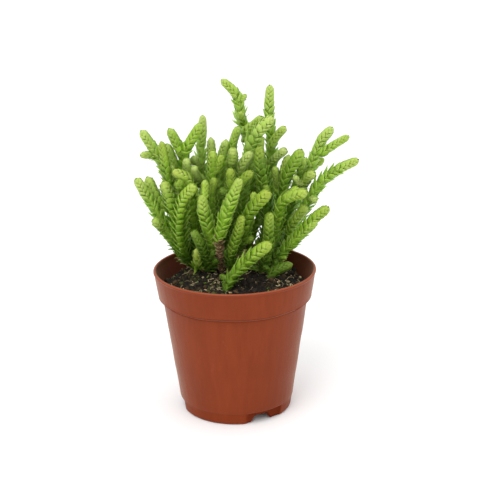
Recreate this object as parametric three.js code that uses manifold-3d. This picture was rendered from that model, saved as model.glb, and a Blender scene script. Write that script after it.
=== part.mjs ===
import * as THREE from 'three';
import * as BufferGeometryUtils from 'three/addons/utils/BufferGeometryUtils.js';
import Module from 'manifold-3d';

// Potted watch chain crassula: a small tuft of slender, four-ranked leafy
// shoots in a thin moulded nursery pot. Millimetres, +Z up, the base on z = 0.
// The table further down is measured from the pot's own axis; the whole group
// is then moved so that the origin is the bottom centre of the bounding box.

// ---- driving dimensions --------------------------------------------------
const RIM_R = 42.5;        // outside radius at the lip, an 8.5 cm pot
const POT_H = 76.4;        // height of the pot
const LIP_H = 1.5;         // height of the rounded lip bead
const LIP_OUT = 0.45;      // how far the bead stands out from the band
const BAND_H = 14.6;       // height of the rim band
const BAND_R = 40.15;      // outside radius at the band's lower edge
const NECK_R = 38.0;       // outside radius just under the band
const BASE_R = 29.3;       // outside radius of the foot
const WALL = 0.9;          // wall thickness
const FLOOR_Z = 5.0;       // underside of the floor, above the foot ring
const FLOOR_T = 1.0;       // floor thickness
const FOOT_T = 4.4;        // width of the foot ring that meets the ground
const NOTCH_W = 7.4;       // arched notches through the foot
const NOTCH_H = 4.6;
const NOTCH_ANGLES = [-62.6, 57.4, 177.4];   // degrees about +Z from +X
const HOLE_R = 2.6;        // drainage holes in the floor
const HOLE_PCD_R = 19.0;
const SOIL_EDGE_Z = 65.0;  // soil level at the wall
const SOIL_RISE = 6.8;     // height of the mound above that
const SOIL_MOUND_R = 37.5;
const SOIL_MOUND_Y = 6.0;  // the mound is a little behind the axis
const GAP = 0.35;          // clearance between touching pieces
const ROD_K = 0.94;        // solid's radius over the radius at the leaf tips
const ROD_SIDES = 6;
const POT_SEGMENTS = 60;

// ---- materials -----------------------------------------------------------
const potMat = new THREE.MeshStandardMaterial({ color: 0x9c4a2c, roughness: 0.48, metalness: 0 });
const soilMat = new THREE.MeshStandardMaterial({ color: 0x2a211a, roughness: 0.98, metalness: 0 });
function leafMat(i) {
  const c = new THREE.Color().setHSL(0.235 + 0.012 * Math.sin(i * 2.1), 0.52, 0.36 + 0.03 * Math.cos(i * 1.3));
  return new THREE.MeshStandardMaterial({ color: c, roughness: 0.55, metalness: 0 });
}

// ---- solids --------------------------------------------------------------
const wasm = await Module();
wasm.setup();

function bare(geometry) {
  let g = geometry.index ? geometry.toNonIndexed() : geometry.clone();
  g.deleteAttribute('normal');
  g.deleteAttribute('uv');
  return BufferGeometryUtils.mergeVertices(g, 1e-4);
}
function toSolid(geometry) {
  const g = bare(geometry);
  const pos = g.attributes.position.array;
  const idx = g.index.array;
  const tri = [];
  for (let i = 0; i < idx.length; i += 3) {
    if (idx[i] !== idx[i + 1] && idx[i + 1] !== idx[i + 2] && idx[i] !== idx[i + 2]) tri.push(idx[i], idx[i + 1], idx[i + 2]);
  }
  return new wasm.Manifold(new wasm.Mesh({ numProp: 3, vertProperties: new Float32Array(pos), triVerts: new Uint32Array(tri) }));
}
function toGeometry(solid) {
  const m = solid.getMesh();
  const g = new THREE.BufferGeometry();
  g.setAttribute('position', new THREE.BufferAttribute(new Float32Array(m.vertProperties), 3));
  g.setIndex(Array.from(m.triVerts));
  g.computeVertexNormals();
  return g;
}

const group = new THREE.Group();
group.name = 'potted_watch_chain_crassula';
function addPiece(name, geometry, material) {
  const mesh = new THREE.Mesh(geometry, material);
  mesh.name = name;
  group.add(mesh);
  return mesh;
}

// ---- pot -----------------------------------------------------------------
// A lathe profile in (radius, height) that starts and ends on the axis,
// turned about +Z.
function turned(profile, segments) {
  const g = new THREE.LatheGeometry(profile.map(([r, z]) => new THREE.Vector2(r, z)), segments);
  g.rotateX(Math.PI / 2);
  return g;
}
const bandZ = POT_H - BAND_H;
const outer = (z) => BASE_R + (NECK_R - BASE_R) * (z / (bandZ - 1.2));
const potProfile = [
  [0, FLOOR_Z], [BASE_R - FOOT_T - 0.9, FLOOR_Z], [BASE_R - FOOT_T, 0.0], [BASE_R - 0.5, 0.0],
  [BASE_R, 0.6], [outer(bandZ * 0.5), bandZ * 0.5], [NECK_R, bandZ - 1.2], [BAND_R, bandZ],
  [RIM_R - LIP_OUT, POT_H - LIP_H], [RIM_R, POT_H - LIP_H * 0.75], [RIM_R - 0.15, POT_H - 0.25], [RIM_R - 0.55, POT_H],
  [RIM_R - 1.05, POT_H - 0.1], [RIM_R - LIP_OUT - WALL, POT_H - LIP_H], [BAND_R - WALL, bandZ - 0.3],
  [NECK_R - WALL, bandZ - 1.9], [BASE_R - WALL + 0.6, FLOOR_Z + FLOOR_T], [0, FLOOR_Z + FLOOR_T],
];
let pot = toSolid(turned(potProfile, POT_SEGMENTS));
// Arched notches in the foot ring: a rounded-top bar that runs outward.
for (const a of NOTCH_ANGLES) {
  const s = new THREE.Shape();
  const w = NOTCH_W / 2;
  const r = 1.6;
  s.moveTo(-w - 0.5, -1);
  s.lineTo(-w, NOTCH_H - r);
  s.quadraticCurveTo(-w, NOTCH_H, -w + r, NOTCH_H);
  s.lineTo(w - r, NOTCH_H);
  s.quadraticCurveTo(w, NOTCH_H, w, NOTCH_H - r);
  s.lineTo(w + 0.5, -1);
  s.closePath();
  const bar = new THREE.ExtrudeGeometry(s, { depth: 12, bevelEnabled: false, curveSegments: 4 });
  bar.rotateX(Math.PI / 2);            // profile up, extrusion along -Y
  bar.translate(0, -(BASE_R - 8), 0);
  bar.rotateZ(THREE.MathUtils.degToRad(a + 90));
  pot = pot.subtract(toSolid(bar));
}
// Drainage holes, between the notches and near them.
for (let i = 0; i < 6; i++) {
  const hole = new THREE.CylinderGeometry(HOLE_R, HOLE_R, 6, 12);
  hole.rotateX(Math.PI / 2);
  const a = THREE.MathUtils.degToRad(NOTCH_ANGLES[0] + 30 + 60 * i);
  hole.translate(HOLE_PCD_R * Math.cos(a), HOLE_PCD_R * Math.sin(a), FLOOR_Z + 0.5);
  pot = pot.subtract(toSolid(hole));
}
addPiece('pot', toGeometry(pot), potMat);

// ---- soil ----------------------------------------------------------------
function soilZ(x, y) {
  const q = (x * x + (y - SOIL_MOUND_Y) ** 2) / SOIL_MOUND_R ** 2;
  return SOIL_EDGE_Z + SOIL_RISE * Math.max(0, 1 - q ** 1.7);
}
{
  const z0 = FLOOR_Z + FLOOR_T + GAP;
  const inner = (z) => BASE_R - WALL + 0.6 + (NECK_R - BASE_R - 0.6) * ((z - FLOOR_Z - FLOOR_T) / (bandZ - 1.9 - FLOOR_Z - FLOOR_T)) - GAP - 0.12;
  const topR = inner(bandZ - 3) + 0.2;
  const rings = [1, 0.86, 0.7, 0.52, 0.34, 0.17, 0];
  const profile = [[0, z0], [inner(z0), z0], [inner(bandZ - 3), bandZ - 3], [BAND_R - WALL - GAP - 0.6, bandZ + 1.2]];
  const rTop = BAND_R - WALL - GAP - 0.4;
  for (const k of rings) profile.push([rTop * k, 100]);
  const g = turned(profile, 40);
  const p = g.attributes.position;
  for (let i = 0; i < p.count; i++) {
    if (p.getZ(i) > 99) p.setZ(i, soilZ(p.getX(i), p.getY(i)));
  }
  addPiece('soil', toGeometry(toSolid(g)), soilMat);
}

// ---- shoots --------------------------------------------------------------
// Each shoot is a turned body (rounded tip, rounded lower end) bent along a
// smooth curve. A path runs from the tip down to the soil, or to the side of
// the shoot that it grows from: [x, y, z, radius over the leaf tips].
const SHOOTS = {
  shoot_01: { path: [[-45.6,9.4,146.1,2.17],[-42.4,10.9,140.3,2.19],[-39.2,12.5,134.5,2.2],[-36.8,14,128.2,2.17],[-34.7,15.5,121.9,2.12],[-32.9,17.1,115.5,2.1],[-31.1,18.7,109.1,2.1],[-29.5,20.3,102.7,2.1],[-27.9,21.9,96.2,2.1],[-26.3,23.6,89.8,2.1],[-24.7,25.1,83.3,2.12],[-23,26.7,76.9,2.08],[-21,28.3,70.6,1.7]], buds: [[[-46.1,7.5,135.3,1.67],[-42.3,10.2,134.5,1.67],[-38.4,12.6,133.1,1.68]]] },
  shoot_02: { path: [[-31.5,8.3,147,2.17],[-28.7,9.8,140.5,2.25],[-25.9,11.3,134,2.32],[-24.6,12.9,127.1,2.27],[-23.8,14.6,120.1,2.16],[-23.1,16.4,113.1,2.09],[-22.3,18.3,106.1,2.1],[-21.4,20.2,99.2,2.1],[-20.3,22.1,92.3,2.1],[-19,24,85.4,2.12],[-17.3,25.9,78.6,2.08],[-15.3,27.8,71.9,1.7]] },
  shoot_03: { path: [[-16.5,2.9,150.6,2.15],[-18.8,3.5,147,2.15],[-21.1,4.1,143.4,2.16],[-23.1,4.7,139.6,2.16],[-26.4,6.4,137.3,1.7]] },
  shoot_04: { path: [[-15.3,19,151.4,2.2],[-15.6,19.7,144.6,2.21],[-16.4,20.4,137.8,2.22],[-16.7,21.2,131,2.22],[-16.5,22.3,124.3,2.17],[-16.2,23.5,117.6,2.13],[-15.9,24.8,110.9,2.1],[-15.4,26.2,104.2,2.1],[-14.8,27.6,97.5,2.1],[-14,29.1,90.9,2.11],[-12.8,30.5,84.3,2.12],[-11.4,31.9,77.8,2.04],[-9.9,33.3,71.3,1.7]], buds: [[[-20.1,13.2,131.7,1.94],[-19.4,15.8,128.9,1.95],[-18.4,18.6,126.5,1.96],[-16.5,21.8,125.4,1.97]]] },
  shoot_05: { path: [[-35.7,0.5,141.9,2.14],[-35.2,0.8,137.8,2.16],[-34.6,1.1,133.7,2.16],[-34,1.3,129.6,2.17],[-33.5,1.2,125.5,2.15],[-33,0.4,121,1.7]] },
  shoot_06: { path: [[-33.3,10.3,139,1.8],[-32.3,11,135.7,1.8],[-31.2,11.7,132.3,1.8],[-30.1,12.4,128.9,1.91],[-28.6,13.1,125.7,1.7]] },
  shoot_07: { path: [[-23.6,2.5,133,2.16],[-23.6,4.4,129.2,2.17],[-23.5,6.3,125.4,2.12],[-23.3,8.4,121.6,2.1],[-23.2,11,118,1.7]] },
  shoot_08: { path: [[-19.5,-3.7,130.6,1.89],[-19.2,1.5,126.2,2.04],[-18.3,7.2,122.4,2.09],[-17.3,13.1,119,2.1],[-16.4,19.7,116.1,1.7]] },
  shoot_09: { path: [[-28.8,-4.4,128.7,2.39],[-24,-1.6,124.7,2.54],[-22.8,1,118.4,2.44],[-22.3,3.5,111.9,2.31],[-21.7,6.1,105.5,2.19],[-21.1,8.7,99,2.11],[-20.4,11.2,92.5,2.12],[-19.6,13.6,86.1,2.09],[-18.5,16,79.6,1.97],[-17.4,18.2,73.1,1.7]], buds: [[[-27.4,-6.9,123.6,2.52],[-26.1,-4.5,120.9,2.53],[-24.6,-1.9,118.7,2.54],[-22.7,1.1,117.4,2.54]], [[-32.1,5.8,128.6,2.3],[-31.1,5.8,125,2.31],[-30.1,5.8,121.4,2.32],[-28.8,5.7,117.9,2.33],[-26.9,5.5,114.8,2.34],[-24.5,5.2,112,2.34],[-22.1,4.9,109.2,2.34]]] },
  shoot_10: { path: [[-11.2,14.2,140.7,2.07],[-11.1,15.7,133.9,2.08],[-11.2,17.2,127,2.1],[-11.4,18.7,120.2,2.1],[-11.5,20.3,113.4,2.1],[-11.6,21.9,106.6,2.1],[-11.6,23.4,99.8,2.1],[-11.4,24.8,93,2.11],[-11.1,26,86.1,2.12],[-10.6,27.2,79.2,2.04],[-10,28.7,72.5,1.7]] },
  shoot_11: { path: [[-10.2,2.5,136.4,2.16],[-10.4,4.3,129.4,2.17],[-10.8,6.2,122.4,2.11],[-11.2,8.1,115.4,2.1],[-11.6,10,108.4,2.1],[-11.8,11.9,101.5,2.1],[-12.1,13.8,94.5,2.11],[-12.2,15.7,87.5,2.12],[-12.2,17.6,80.5,2.03],[-12.1,19.4,73.5,1.7]], buds: [[[-5.9,3.3,134.3,1.78],[-7.6,4.2,129.8,1.79],[-10.5,5,125.9,1.8]]] },
  shoot_12: { path: [[-47.9,-7.3,125.2,2.13],[-45.5,-4.8,119.5,2.21],[-42.9,-2.3,114,2.26],[-40.3,0.2,108.3,2.32],[-38,2.7,102.6,2.37],[-35.8,5.3,96.8,2.43],[-33.6,8,91.1,2.49],[-31.5,11.3,85.8,2.46],[-29.4,15,80.6,2.38],[-27.3,18.8,75.6,2.2],[-25,22.8,70.7,1.7]], buds: [[[-40,-5.2,103.8,2.04],[-38.8,-2.1,100.7,2.05],[-37.5,1.1,98,2.06],[-35.7,5,96.7,2.08]]] },
  shoot_13: { path: [[-43.2,1.3,123.5,2.17],[-42,2.1,119.5,2.18],[-40.4,2.8,115.7,2.19],[-38.5,3.6,111.9,2.16],[-36.9,4.1,107.9,1.7]] },
  shoot_14: { path: [[-34.8,-5.2,122.5,2.52],[-32.7,-2,116.2,2.45],[-31.7,1.1,109.6,2.39],[-30.7,4.3,103.1,2.28],[-29.4,7.6,96.6,2.17],[-27.7,11.1,90.3,2.11],[-25.6,14.6,84.1,2.11],[-23.3,18.2,78.1,2.08],[-20.9,21.7,72.1,1.7]] },
  shoot_15: { path: [[-20.3,-16.8,123.7,2.72],[-24,-13.2,118.9,2.85],[-26.4,-9.6,113.3,2.96],[-27.4,-6.2,107.2,3.06],[-28,-2.7,101.1,3.16],[-28.2,0.7,94.9,3.27],[-27.9,4.2,88.8,3.39],[-26.4,8,83,3.45],[-24.7,12.1,77.5,3.04],[-22.9,16.4,72.2,1.7]] },
  shoot_16: { path: [[-15.6,-15.2,117.7,2.61],[-15.1,-12.3,111.1,2.67],[-14.1,-9.5,104.6,2.72],[-12.9,-6.5,98.2,2.76],[-11.8,-3.5,91.8,2.81],[-11,0.2,85.7,2.85],[-10.8,4.4,79.9,2.75],[-10.9,8.4,73.9,1.7]], buds: [[[-14.2,-11.8,125.1,1.5],[-14.3,-12.5,121.8,1.5],[-14.6,-13.2,118.6,1.5],[-15.6,-14,115.5,1.5]]] },
  shoot_17: { path: [[-9.8,-4.6,124.2,2.15],[-10.8,-2.5,117.9,2.17],[-10.9,-0.4,111.6,2.14],[-10.5,1.9,105.3,2.1],[-10.2,4.3,99.1,2.1],[-9.9,6.6,92.8,2.12],[-9.7,8.9,86.5,2.09],[-9.4,11.1,80.2,1.98],[-9.1,13.2,73.9,1.7]] },
  shoot_18: { path: [[-3.9,26,169.3,2.08],[1.1,26.5,164.2,2.09],[3.7,26.8,157.6,2.09],[4.3,27.1,150.5,2.1],[5.9,27.5,143.5,2.11],[6.3,27.9,136.3,2.1],[6.4,28.5,129.1,2.1],[6.5,29,122,2.1],[6.5,29.6,114.8,2.1],[6.4,30.2,107.6,2.1],[6.2,30.8,100.5,2.1],[5.9,31.3,93.3,2.1],[5.3,31.8,86.2,2.12],[4.6,32.3,79,2.04],[3.8,32.7,71.9,1.7]], buds: [[[4.5,22.2,153.1,1.95],[5.2,24.8,149.3,1.96],[5.5,27.7,145.6,1.97]], [[8.6,24.5,146.9,1.31],[7.7,26.1,143,1.32],[6.2,27.4,139.2,1.32]], [[6.9,27,161.7,1.18],[4.1,27,158.9,1.18]]] },
  shoot_19: { path: [[19.7,19.1,166.5,2.19],[19.3,19.7,159.7,2.24],[19.2,20.2,152.9,2.28],[19.8,20.7,146.2,2.32],[20.2,21.3,139.4,2.36],[20.3,21.9,132.6,2.3],[20.2,22.6,125.8,2.19],[20,23.3,119,2.11],[19.7,24,112.3,2.1],[19.2,24.7,105.5,2.1],[18.6,25.5,98.8,2.1],[17.8,26.3,92,2.1],[16.7,27,85.3,2.12],[15.3,27.8,78.7,2.07],[13.7,28.5,72.1,1.7]] },
  shoot_20: { path: [[19.1,1.6,153.9,2.39],[14.8,3.8,149.2,2.46],[11.2,5.8,143.9,2.51],[9.1,7.8,137.8,2.57],[7.9,9.7,131.4,2.52],[6.8,11.6,125,2.43],[5.9,13.5,118.5,2.33],[5.1,15.4,112.1,2.25],[4.3,17.3,105.7,2.17],[3.7,19.3,99.2,2.13],[3,21.2,92.7,2.13],[2.3,23,86.3,2.09],[1.5,24.7,79.8,1.98],[0.5,26.3,73.3,1.7]] },
  shoot_21: { path: [[14.1,17.1,151.4,2.07],[11.4,19,148.5,2.08],[8.7,20.9,145.6,2.09],[5.9,23.5,142.8,1.7]] },
  shoot_22: { path: [[26.2,13,146.5,2.06],[23.8,14.5,143.6,2.07],[21.6,15.8,140.3,2.08],[20.1,17.3,136.8,1.7]] },
  shoot_23: { path: [[26.4,8,136.2,2.05],[24.3,10.4,134,2.06],[22.4,12.7,131.7,2.07],[20.8,15.2,129.3,2.08],[19.4,18.4,126.9,1.7]] },
  shoot_24: { path: [[2.6,17.9,145.6,2.08],[0.4,18.5,139.2,2.08],[-0.7,19.2,132.6,2.09],[-1.2,20,126,2.1],[-1.6,21,119.3,2.1],[-1.9,22,112.7,2.1],[-2.1,23,106.1,2.1],[-2.3,24.1,99.4,2.1],[-2.5,25.2,92.8,2.11],[-2.7,26.2,86.2,2.11],[-3.1,27.1,79.5,2.02],[-3.5,28,72.9,1.7]] },
  shoot_25: { path: [[-3.6,16.6,139.1,1.82],[-5.5,17.6,132.8,1.83],[-6.3,18.5,126.2,2.03],[-6.8,19.4,119.6,2.12],[-7,20.3,113,2.11],[-7.1,21.1,106.3,2.11],[-7.2,21.9,99.7,2.12],[-7.4,22.6,93.1,2.08],[-7.5,23.2,86.4,2],[-7.6,23.8,79.8,1.92],[-7.9,24.7,73.1,1.7]] },
  shoot_26: { path: [[0.1,-3.8,139.5,1.88],[0.1,-1.3,136.6,1.93],[-0.1,1.3,133.7,1.97],[-0.4,4.1,131.1,2.01],[-0.7,7.6,129.4,2.04],[-0.8,11.3,128.6,2.07],[-0.9,15.7,128.1,1.7]] },
  shoot_27: { path: [[13.6,-5.6,139.8,2.5],[13.7,-3.7,133,2.52],[14.6,-1.8,126.4,2.54],[15.5,0.5,119.9,2.51],[16.2,3,113.4,2.43],[16.6,5.5,106.8,2.33],[16.8,7.8,100.2,2.25],[16.5,10,93.6,2.17],[15.7,12,86.9,2.07],[14.4,13.7,80.3,1.96],[12.8,15.3,73.7,1.7]], buds: [[[16.5,-3.6,120.1,1.9],[16.6,-0.9,116.2,1.91],[16.2,2.8,113.3,1.92]], [[13,14,85.9,1.99],[13,14,82.6,2],[14.4,13.8,79.6,2]]] },
  shoot_28: { path: [[14.1,9.5,142.7,1.92],[13.6,9.9,138.4,1.95],[12.6,10.1,134.2,1.7]] },
  shoot_29: { path: [[8.8,0.2,136.4,2.03],[6.7,2,133.4,2.03],[4.9,3.7,130.2,2.04],[3.9,5.7,126.7,2.06],[4.3,8.3,123.4,1.7]] },
  shoot_30: { path: [[50.3,11.3,146,2.05],[46.1,12.7,140.7,2.11],[43.6,13.8,134.4,2.16],[41,14.9,128.1,2.21],[38.2,16.2,122,2.18],[35.5,17.5,115.7,2.13],[32.9,18.8,109.5,2.1],[30.5,20.2,103.2,2.1],[28,21.5,96.9,2.1],[25.5,22.8,90.6,2.12],[22.9,24.1,84.3,2.09],[20.5,25.5,78,1.99],[18.7,26.9,71.5,1.7]], buds: [[[46.3,19.1,128.3,1.84],[43,17.3,126.8,1.84],[39.6,15.8,125.2,1.84]], [[36.4,10.2,130.4,2.19],[34.9,12.2,124.6,2.21],[33.4,14.1,118.8,2.22],[31.9,16.1,113,2.23],[32.2,18.9,107.6,2.24]]] },
  shoot_31: { path: [[58.1,8.4,142.4,2.05],[55,8.9,140.5,2.05],[51.9,9.3,138.5,2.06],[48.9,9.7,136.3,2.06],[45.9,10.4,133.9,1.7]] },
  shoot_32: { path: [[62,-1.4,132.3,2.15],[56.3,1.1,129.1,2.17],[50.9,3.5,125.4,2.18],[46.2,5.7,120.7,2.19],[42.3,7.7,115.3,2.21],[39.2,9.4,109.2,2.14],[36.2,11,103.2,2.11],[33.2,12.7,97,2.1],[30.4,14.4,90.9,2.1],[27.7,16.1,84.6,2.12],[25.2,17.8,78.3,2.05],[22.8,19.4,72,1.7]], buds: [[[42,3.7,111.1,1.81],[40,8.6,111,1.81]]] },
  shoot_33: { path: [[34.1,1.5,136.3,2.54],[30.8,3.2,130.4,2.49],[27.7,4.9,124.5,2.45],[26.2,6.7,118,2.41],[25,8.8,111.6,2.32],[23.7,11.1,105.2,2.22],[22.3,13.2,98.8,2.16],[20.7,15.3,92.4,2.11],[18.9,17.1,86,2.03],[16.9,18.8,79.6,1.93],[14.8,20.4,73.2,1.7]] },
  shoot_34: { path: [[28.4,8.4,132.1,2.06],[27.6,9.1,128.6,2.06],[26.6,9.7,125.2,2.07],[25.3,10.4,121.8,2.08],[23.9,11,118.5,2.09],[22.8,11.2,115,1.7]], buds: [[[21.7,6.2,127.2,1.67],[21.9,7.8,123.8,1.68],[22.4,9.3,120.5,1.68],[23.4,10.9,117.3,1.69]]] },
  shoot_35: { path: [[40.9,5.4,124.3,2.06],[38.5,7.7,122.3,2.06],[37.4,10.2,119.6,2.08],[37.2,13.3,116.7,1.7]], buds: [[[31.9,2.3,123.2,1.79],[32.8,5.3,121,1.8],[34.7,8.2,119.4,1.81],[37.3,10.9,118.4,1.81]]] },
  shoot_36: { path: [[35.3,-8.3,117.9,2.27],[29.5,-5.1,115.8,2.36],[24.8,-2.1,111.9,2.42],[23.3,0.4,105.6,2.32],[22.3,3,99.2,2.2],[21.3,5.6,92.8,2.15],[20.2,8.3,86.4,2.09],[18.9,10.5,80,1.97],[17.5,12.4,73.4,1.7]], buds: [[[31.6,-6,119.3,1.9],[30.2,-5.3,116.7,1.9],[27.8,-4.4,115.1,1.9]]] },
  shoot_37: { path: [[36.3,0.3,107.5,2.31],[34.3,2,104.3,2.32],[32.4,3.7,101.1,2.33],[30.6,5.5,97.8,2.34],[29.4,7.5,94.5,2.33],[29.1,10.6,91.3,1.7]] },
  shoot_38: { path: [[46.4,-10.3,109.6,2.52],[41.8,-7.8,105.1,2.58],[37.6,-5.6,100.2,2.62],[33.5,-3.4,95.2,2.67],[29.6,-1.2,90,2.72],[25.7,0.7,84.7,2.74],[22,2.4,79.2,2.47],[18.6,3.6,73.4,1.7]], buds: [[[26.2,-1.8,81.8,1.3],[22.9,1.7,80.8,1.43]], [[40.8,-8.4,102,2.16],[38.1,-6.9,99.1,2.17],[35.5,-5.5,96.1,2.18],[32.9,-4.1,93.1,2.19],[30.3,-2.7,90.1,2.2],[27.7,-0.6,87.5,2.21]], [[20.6,4.9,82.3,2.35],[19.7,4.4,78.7,2.36],[19.5,3.6,75,2.37]]] },
  shoot_39: { path: [[28.2,-0.9,77.2,2.21],[23.8,-1.1,75.7,2.36],[19.9,-1.3,73.3,1.7]] },
  shoot_40: { path: [[16.3,-19,120.3,2.84],[12.3,-15.8,115.4,2.74],[8.4,-12.6,110.4,2.68],[6.4,-9.2,104.5,2.61],[5.2,-5.7,98.5,2.55],[4.1,-2.2,92.4,2.47],[2.9,1.2,86.3,2.31],[1.7,4.6,80.2,2.1],[0.5,7.9,74,1.7]], buds: [[[8.8,-4.6,93.7,1.54],[6.5,-3,92,1.55],[3.8,-1.5,90.8,1.55]], [[10.2,-14.8,118.9,1.99],[10.3,-14.4,115.7,2],[10.1,-14,112.5,2]]] },
  shoot_41: { path: [[18,-13.2,107.7,2.26],[17.6,-10.6,101.9,2.33],[17.5,-7.9,96,2.4],[17.6,-5.2,90.2,2.44],[16.6,-2.1,84.7,2.41],[15.3,1,79.2,2.2],[14,4.2,73.8,1.7]] },
  shoot_42: { path: [[14.6,-21,95.6,2.99],[9,-19.2,90.9,3.02],[3.8,-17.6,85.5,3.04],[-0.5,-16.9,79.4,3.07],[-3.7,-17.3,72.6,1.7]], buds: [[[-6.8,-9,74.2,1.42],[-4.8,-12.8,75,1.42],[-3,-16.7,74.3,1.42]]] },
  shoot_43: { path: [[2.7,-25.3,128.6,2.31],[0.5,-22.8,122.3,2.42],[-1.8,-20.2,116,2.51],[-4,-17.6,109.6,2.6],[-5.8,-14.9,103.2,2.68],[-7.6,-12.1,96.9,2.72],[-7.8,-8.4,90.7,1.25],[-7.4,-4.4,84.7,1.25],[-7.2,0,79.1,1.25],[-6.9,4.6,73.6,1.25]] },
  shoot_44: { path: [[3.8,-16.2,107.3,2.25],[2.5,-13.2,101.5,2.31],[1.1,-10.2,95.8,2.36],[-0.5,-7.2,90.1,2.41],[-1.9,-3.9,84.6,2.45],[-2.2,0,79.2,2.3],[-2.5,4.1,74,1.7]] },
  shoot_45: { path: [[8.5,-7.4,128.2,2.01],[5.5,-6.1,125.3,2.01],[3.4,-4.9,121.6,2.04],[1.4,-3.6,117.8,1.7]] },
  shoot_46: { path: [[-1.3,-4.5,128.8,2.14],[-1.3,-2.2,121.9,2.14],[-1.9,0.2,115.1,2.1],[-2.4,2.5,108.3,2.1],[-3,4.8,101.5,2.1],[-3.4,7.1,94.7,2.12],[-3.9,9.3,87.9,2.08],[-4.3,11.4,81,1.97],[-4.8,13.3,74.1,1.7]], buds: [[[-5.9,-5.6,119.1,1.52],[-3.7,-3.1,117.6,1.52],[-1.8,-0.5,116.2,1.53]]] },
  shoot_47: { path: [[-20,-14.2,99.5,2.14],[-17.8,-10.9,94.1,2.27],[-16.1,-7,88.9,2.28],[-15.1,-2.9,83.7,2.2],[-14.9,1.5,78.6,2.08],[-15.9,5.9,73.7,1.7]] },
  shoot_48: { path: [[-19.4,-2.5,86.2,1.8],[-19.3,-1.6,82.6,1.94],[-19,-0.4,79.1,2.07],[-19.5,2.4,76.8,2.06],[-19.9,5.6,75,2.01],[-20.2,8.9,73.3,1.7]] },
  shoot_49: { path: [[-33,31.1,101,2.3],[-29.6,30.9,95.1,2.3],[-26.1,30.6,89.1,2.3],[-22.6,30.2,83.2,2.33],[-20,30.8,76.9,2.2],[-17.7,31.4,70.4,1.7]], buds: [[[-25.6,30,100.2,2.03],[-25,30.1,96.6,2.03],[-24.3,30.3,93.1,2.04],[-23.9,30.3,89.5,2.04],[-24,30.1,85.8,2.04]]] },
  shoot_50: { path: [[-21.9,43.1,108,2.3],[-20.4,41.1,101.9,2.3],[-18.9,39.1,95.7,2.3],[-17.5,37,89.6,2.33],[-16.3,34.8,83.4,2.31],[-15.4,33.7,77,2.14],[-14,33.7,70.5,1.7]] },
  shoot_51: { path: [[-8,47.1,114,2.3],[-7.4,45,106.8,2.3],[-6.9,42.9,99.7,2.3],[-6.3,40.6,92.6,2.33],[-5.6,38.1,85.5,2.31],[-5.2,36.4,78.3,2.13],[-5,35.4,70.9,1.7]] },
  shoot_52: { path: [[5,49.1,108,2.3],[4.5,46.5,101.9,2.3],[3.9,43.9,95.8,2.3],[3.4,41.2,89.7,2.33],[2.9,38.4,83.7,2.31],[2.4,36.8,77.3,2.14],[2,36.5,70.7,1.7]] },
  shoot_53: { path: [[24,44.1,112,2.3],[22.1,42.3,105.1,2.3],[20.1,40.4,98.2,2.3],[18,38.3,91.4,2.33],[15.8,35.9,84.8,2.3],[13.9,34.3,77.8,2.12],[12.5,34.2,70.6,1.7]] },
  shoot_54: { path: [[29,40.1,104,2.3],[26.2,38.1,97.4,2.3],[23.4,36,90.9,2.3],[20.5,33.6,84.5,2.34],[18,32,77.8,2.21],[16,31.9,70.6,1.7]] },
  shoot_55: { path: [[32,29.2,92,2.3],[30.2,28.4,88.6,2.3],[28.5,27.6,85.2,2.3],[26.8,26.8,81.7,2.32],[25.4,26.3,78.1,2.32],[24.1,26,74.4,2.16],[22.7,25.8,70.8,1.7]] },
  shoot_56: { path: [[-3,34,126,2.2],[-2.6,33.9,119.3,2.2],[-2.1,33.8,112.6,2.2],[-1.7,33.7,105.8,2.2],[-1.3,33.5,99.1,2.2],[-1,33.2,92.4,2.2],[-0.9,32.7,85.7,2.22],[-0.8,32.1,79,2.17],[-0.8,31.4,72.3,1.7]], buds: [[[1.2,31.1,125,2.14],[1.3,31.5,117.9,2.15],[1.4,31.9,110.7,2.16],[1.3,32.3,103.5,2.17],[1.1,32.7,96.3,2.18],[-0.6,33.1,89.4,2.19]]] },
  shoot_57: { path: [[-14,36,120,2.2],[-13,35.7,113.1,2.2],[-11.9,35.4,106.2,2.2],[-10.8,34.9,99.3,2.21],[-9.6,34.2,92.5,2.23],[-8.4,33.3,85.7,2.16],[-7.2,32.3,78.9,2.01],[-6.4,31.5,72,1.7]], buds: [[[-4.8,29.1,117.3,2.14],[-5.5,30.2,110.7,2.15],[-6,31.4,104.1,2.16],[-6.1,32.8,97.4,2.17],[-9.5,33.8,91.8,2.18]]] },
  shoot_58: { path: [[11.3,33.1,123.9,2.15],[10.8,33.4,117.3,2.16],[10.4,33.7,110.7,2.17],[10,34,104.1,2.16],[9.7,34.2,97.5,2.12],[9.4,34.3,90.9,2.11],[9.1,34.3,84.3,2.11],[8.7,34.2,77.7,2],[8.1,34,71.1,1.7]], buds: [[[13.6,30.2,115.1,2.15],[14,30.9,107.9,2.16],[14.6,31.6,100.7,2.17],[14,32.4,93.5,2.18],[11,33.3,87,2.19],[9.1,34.2,80,2.2]]] },
};

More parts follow.
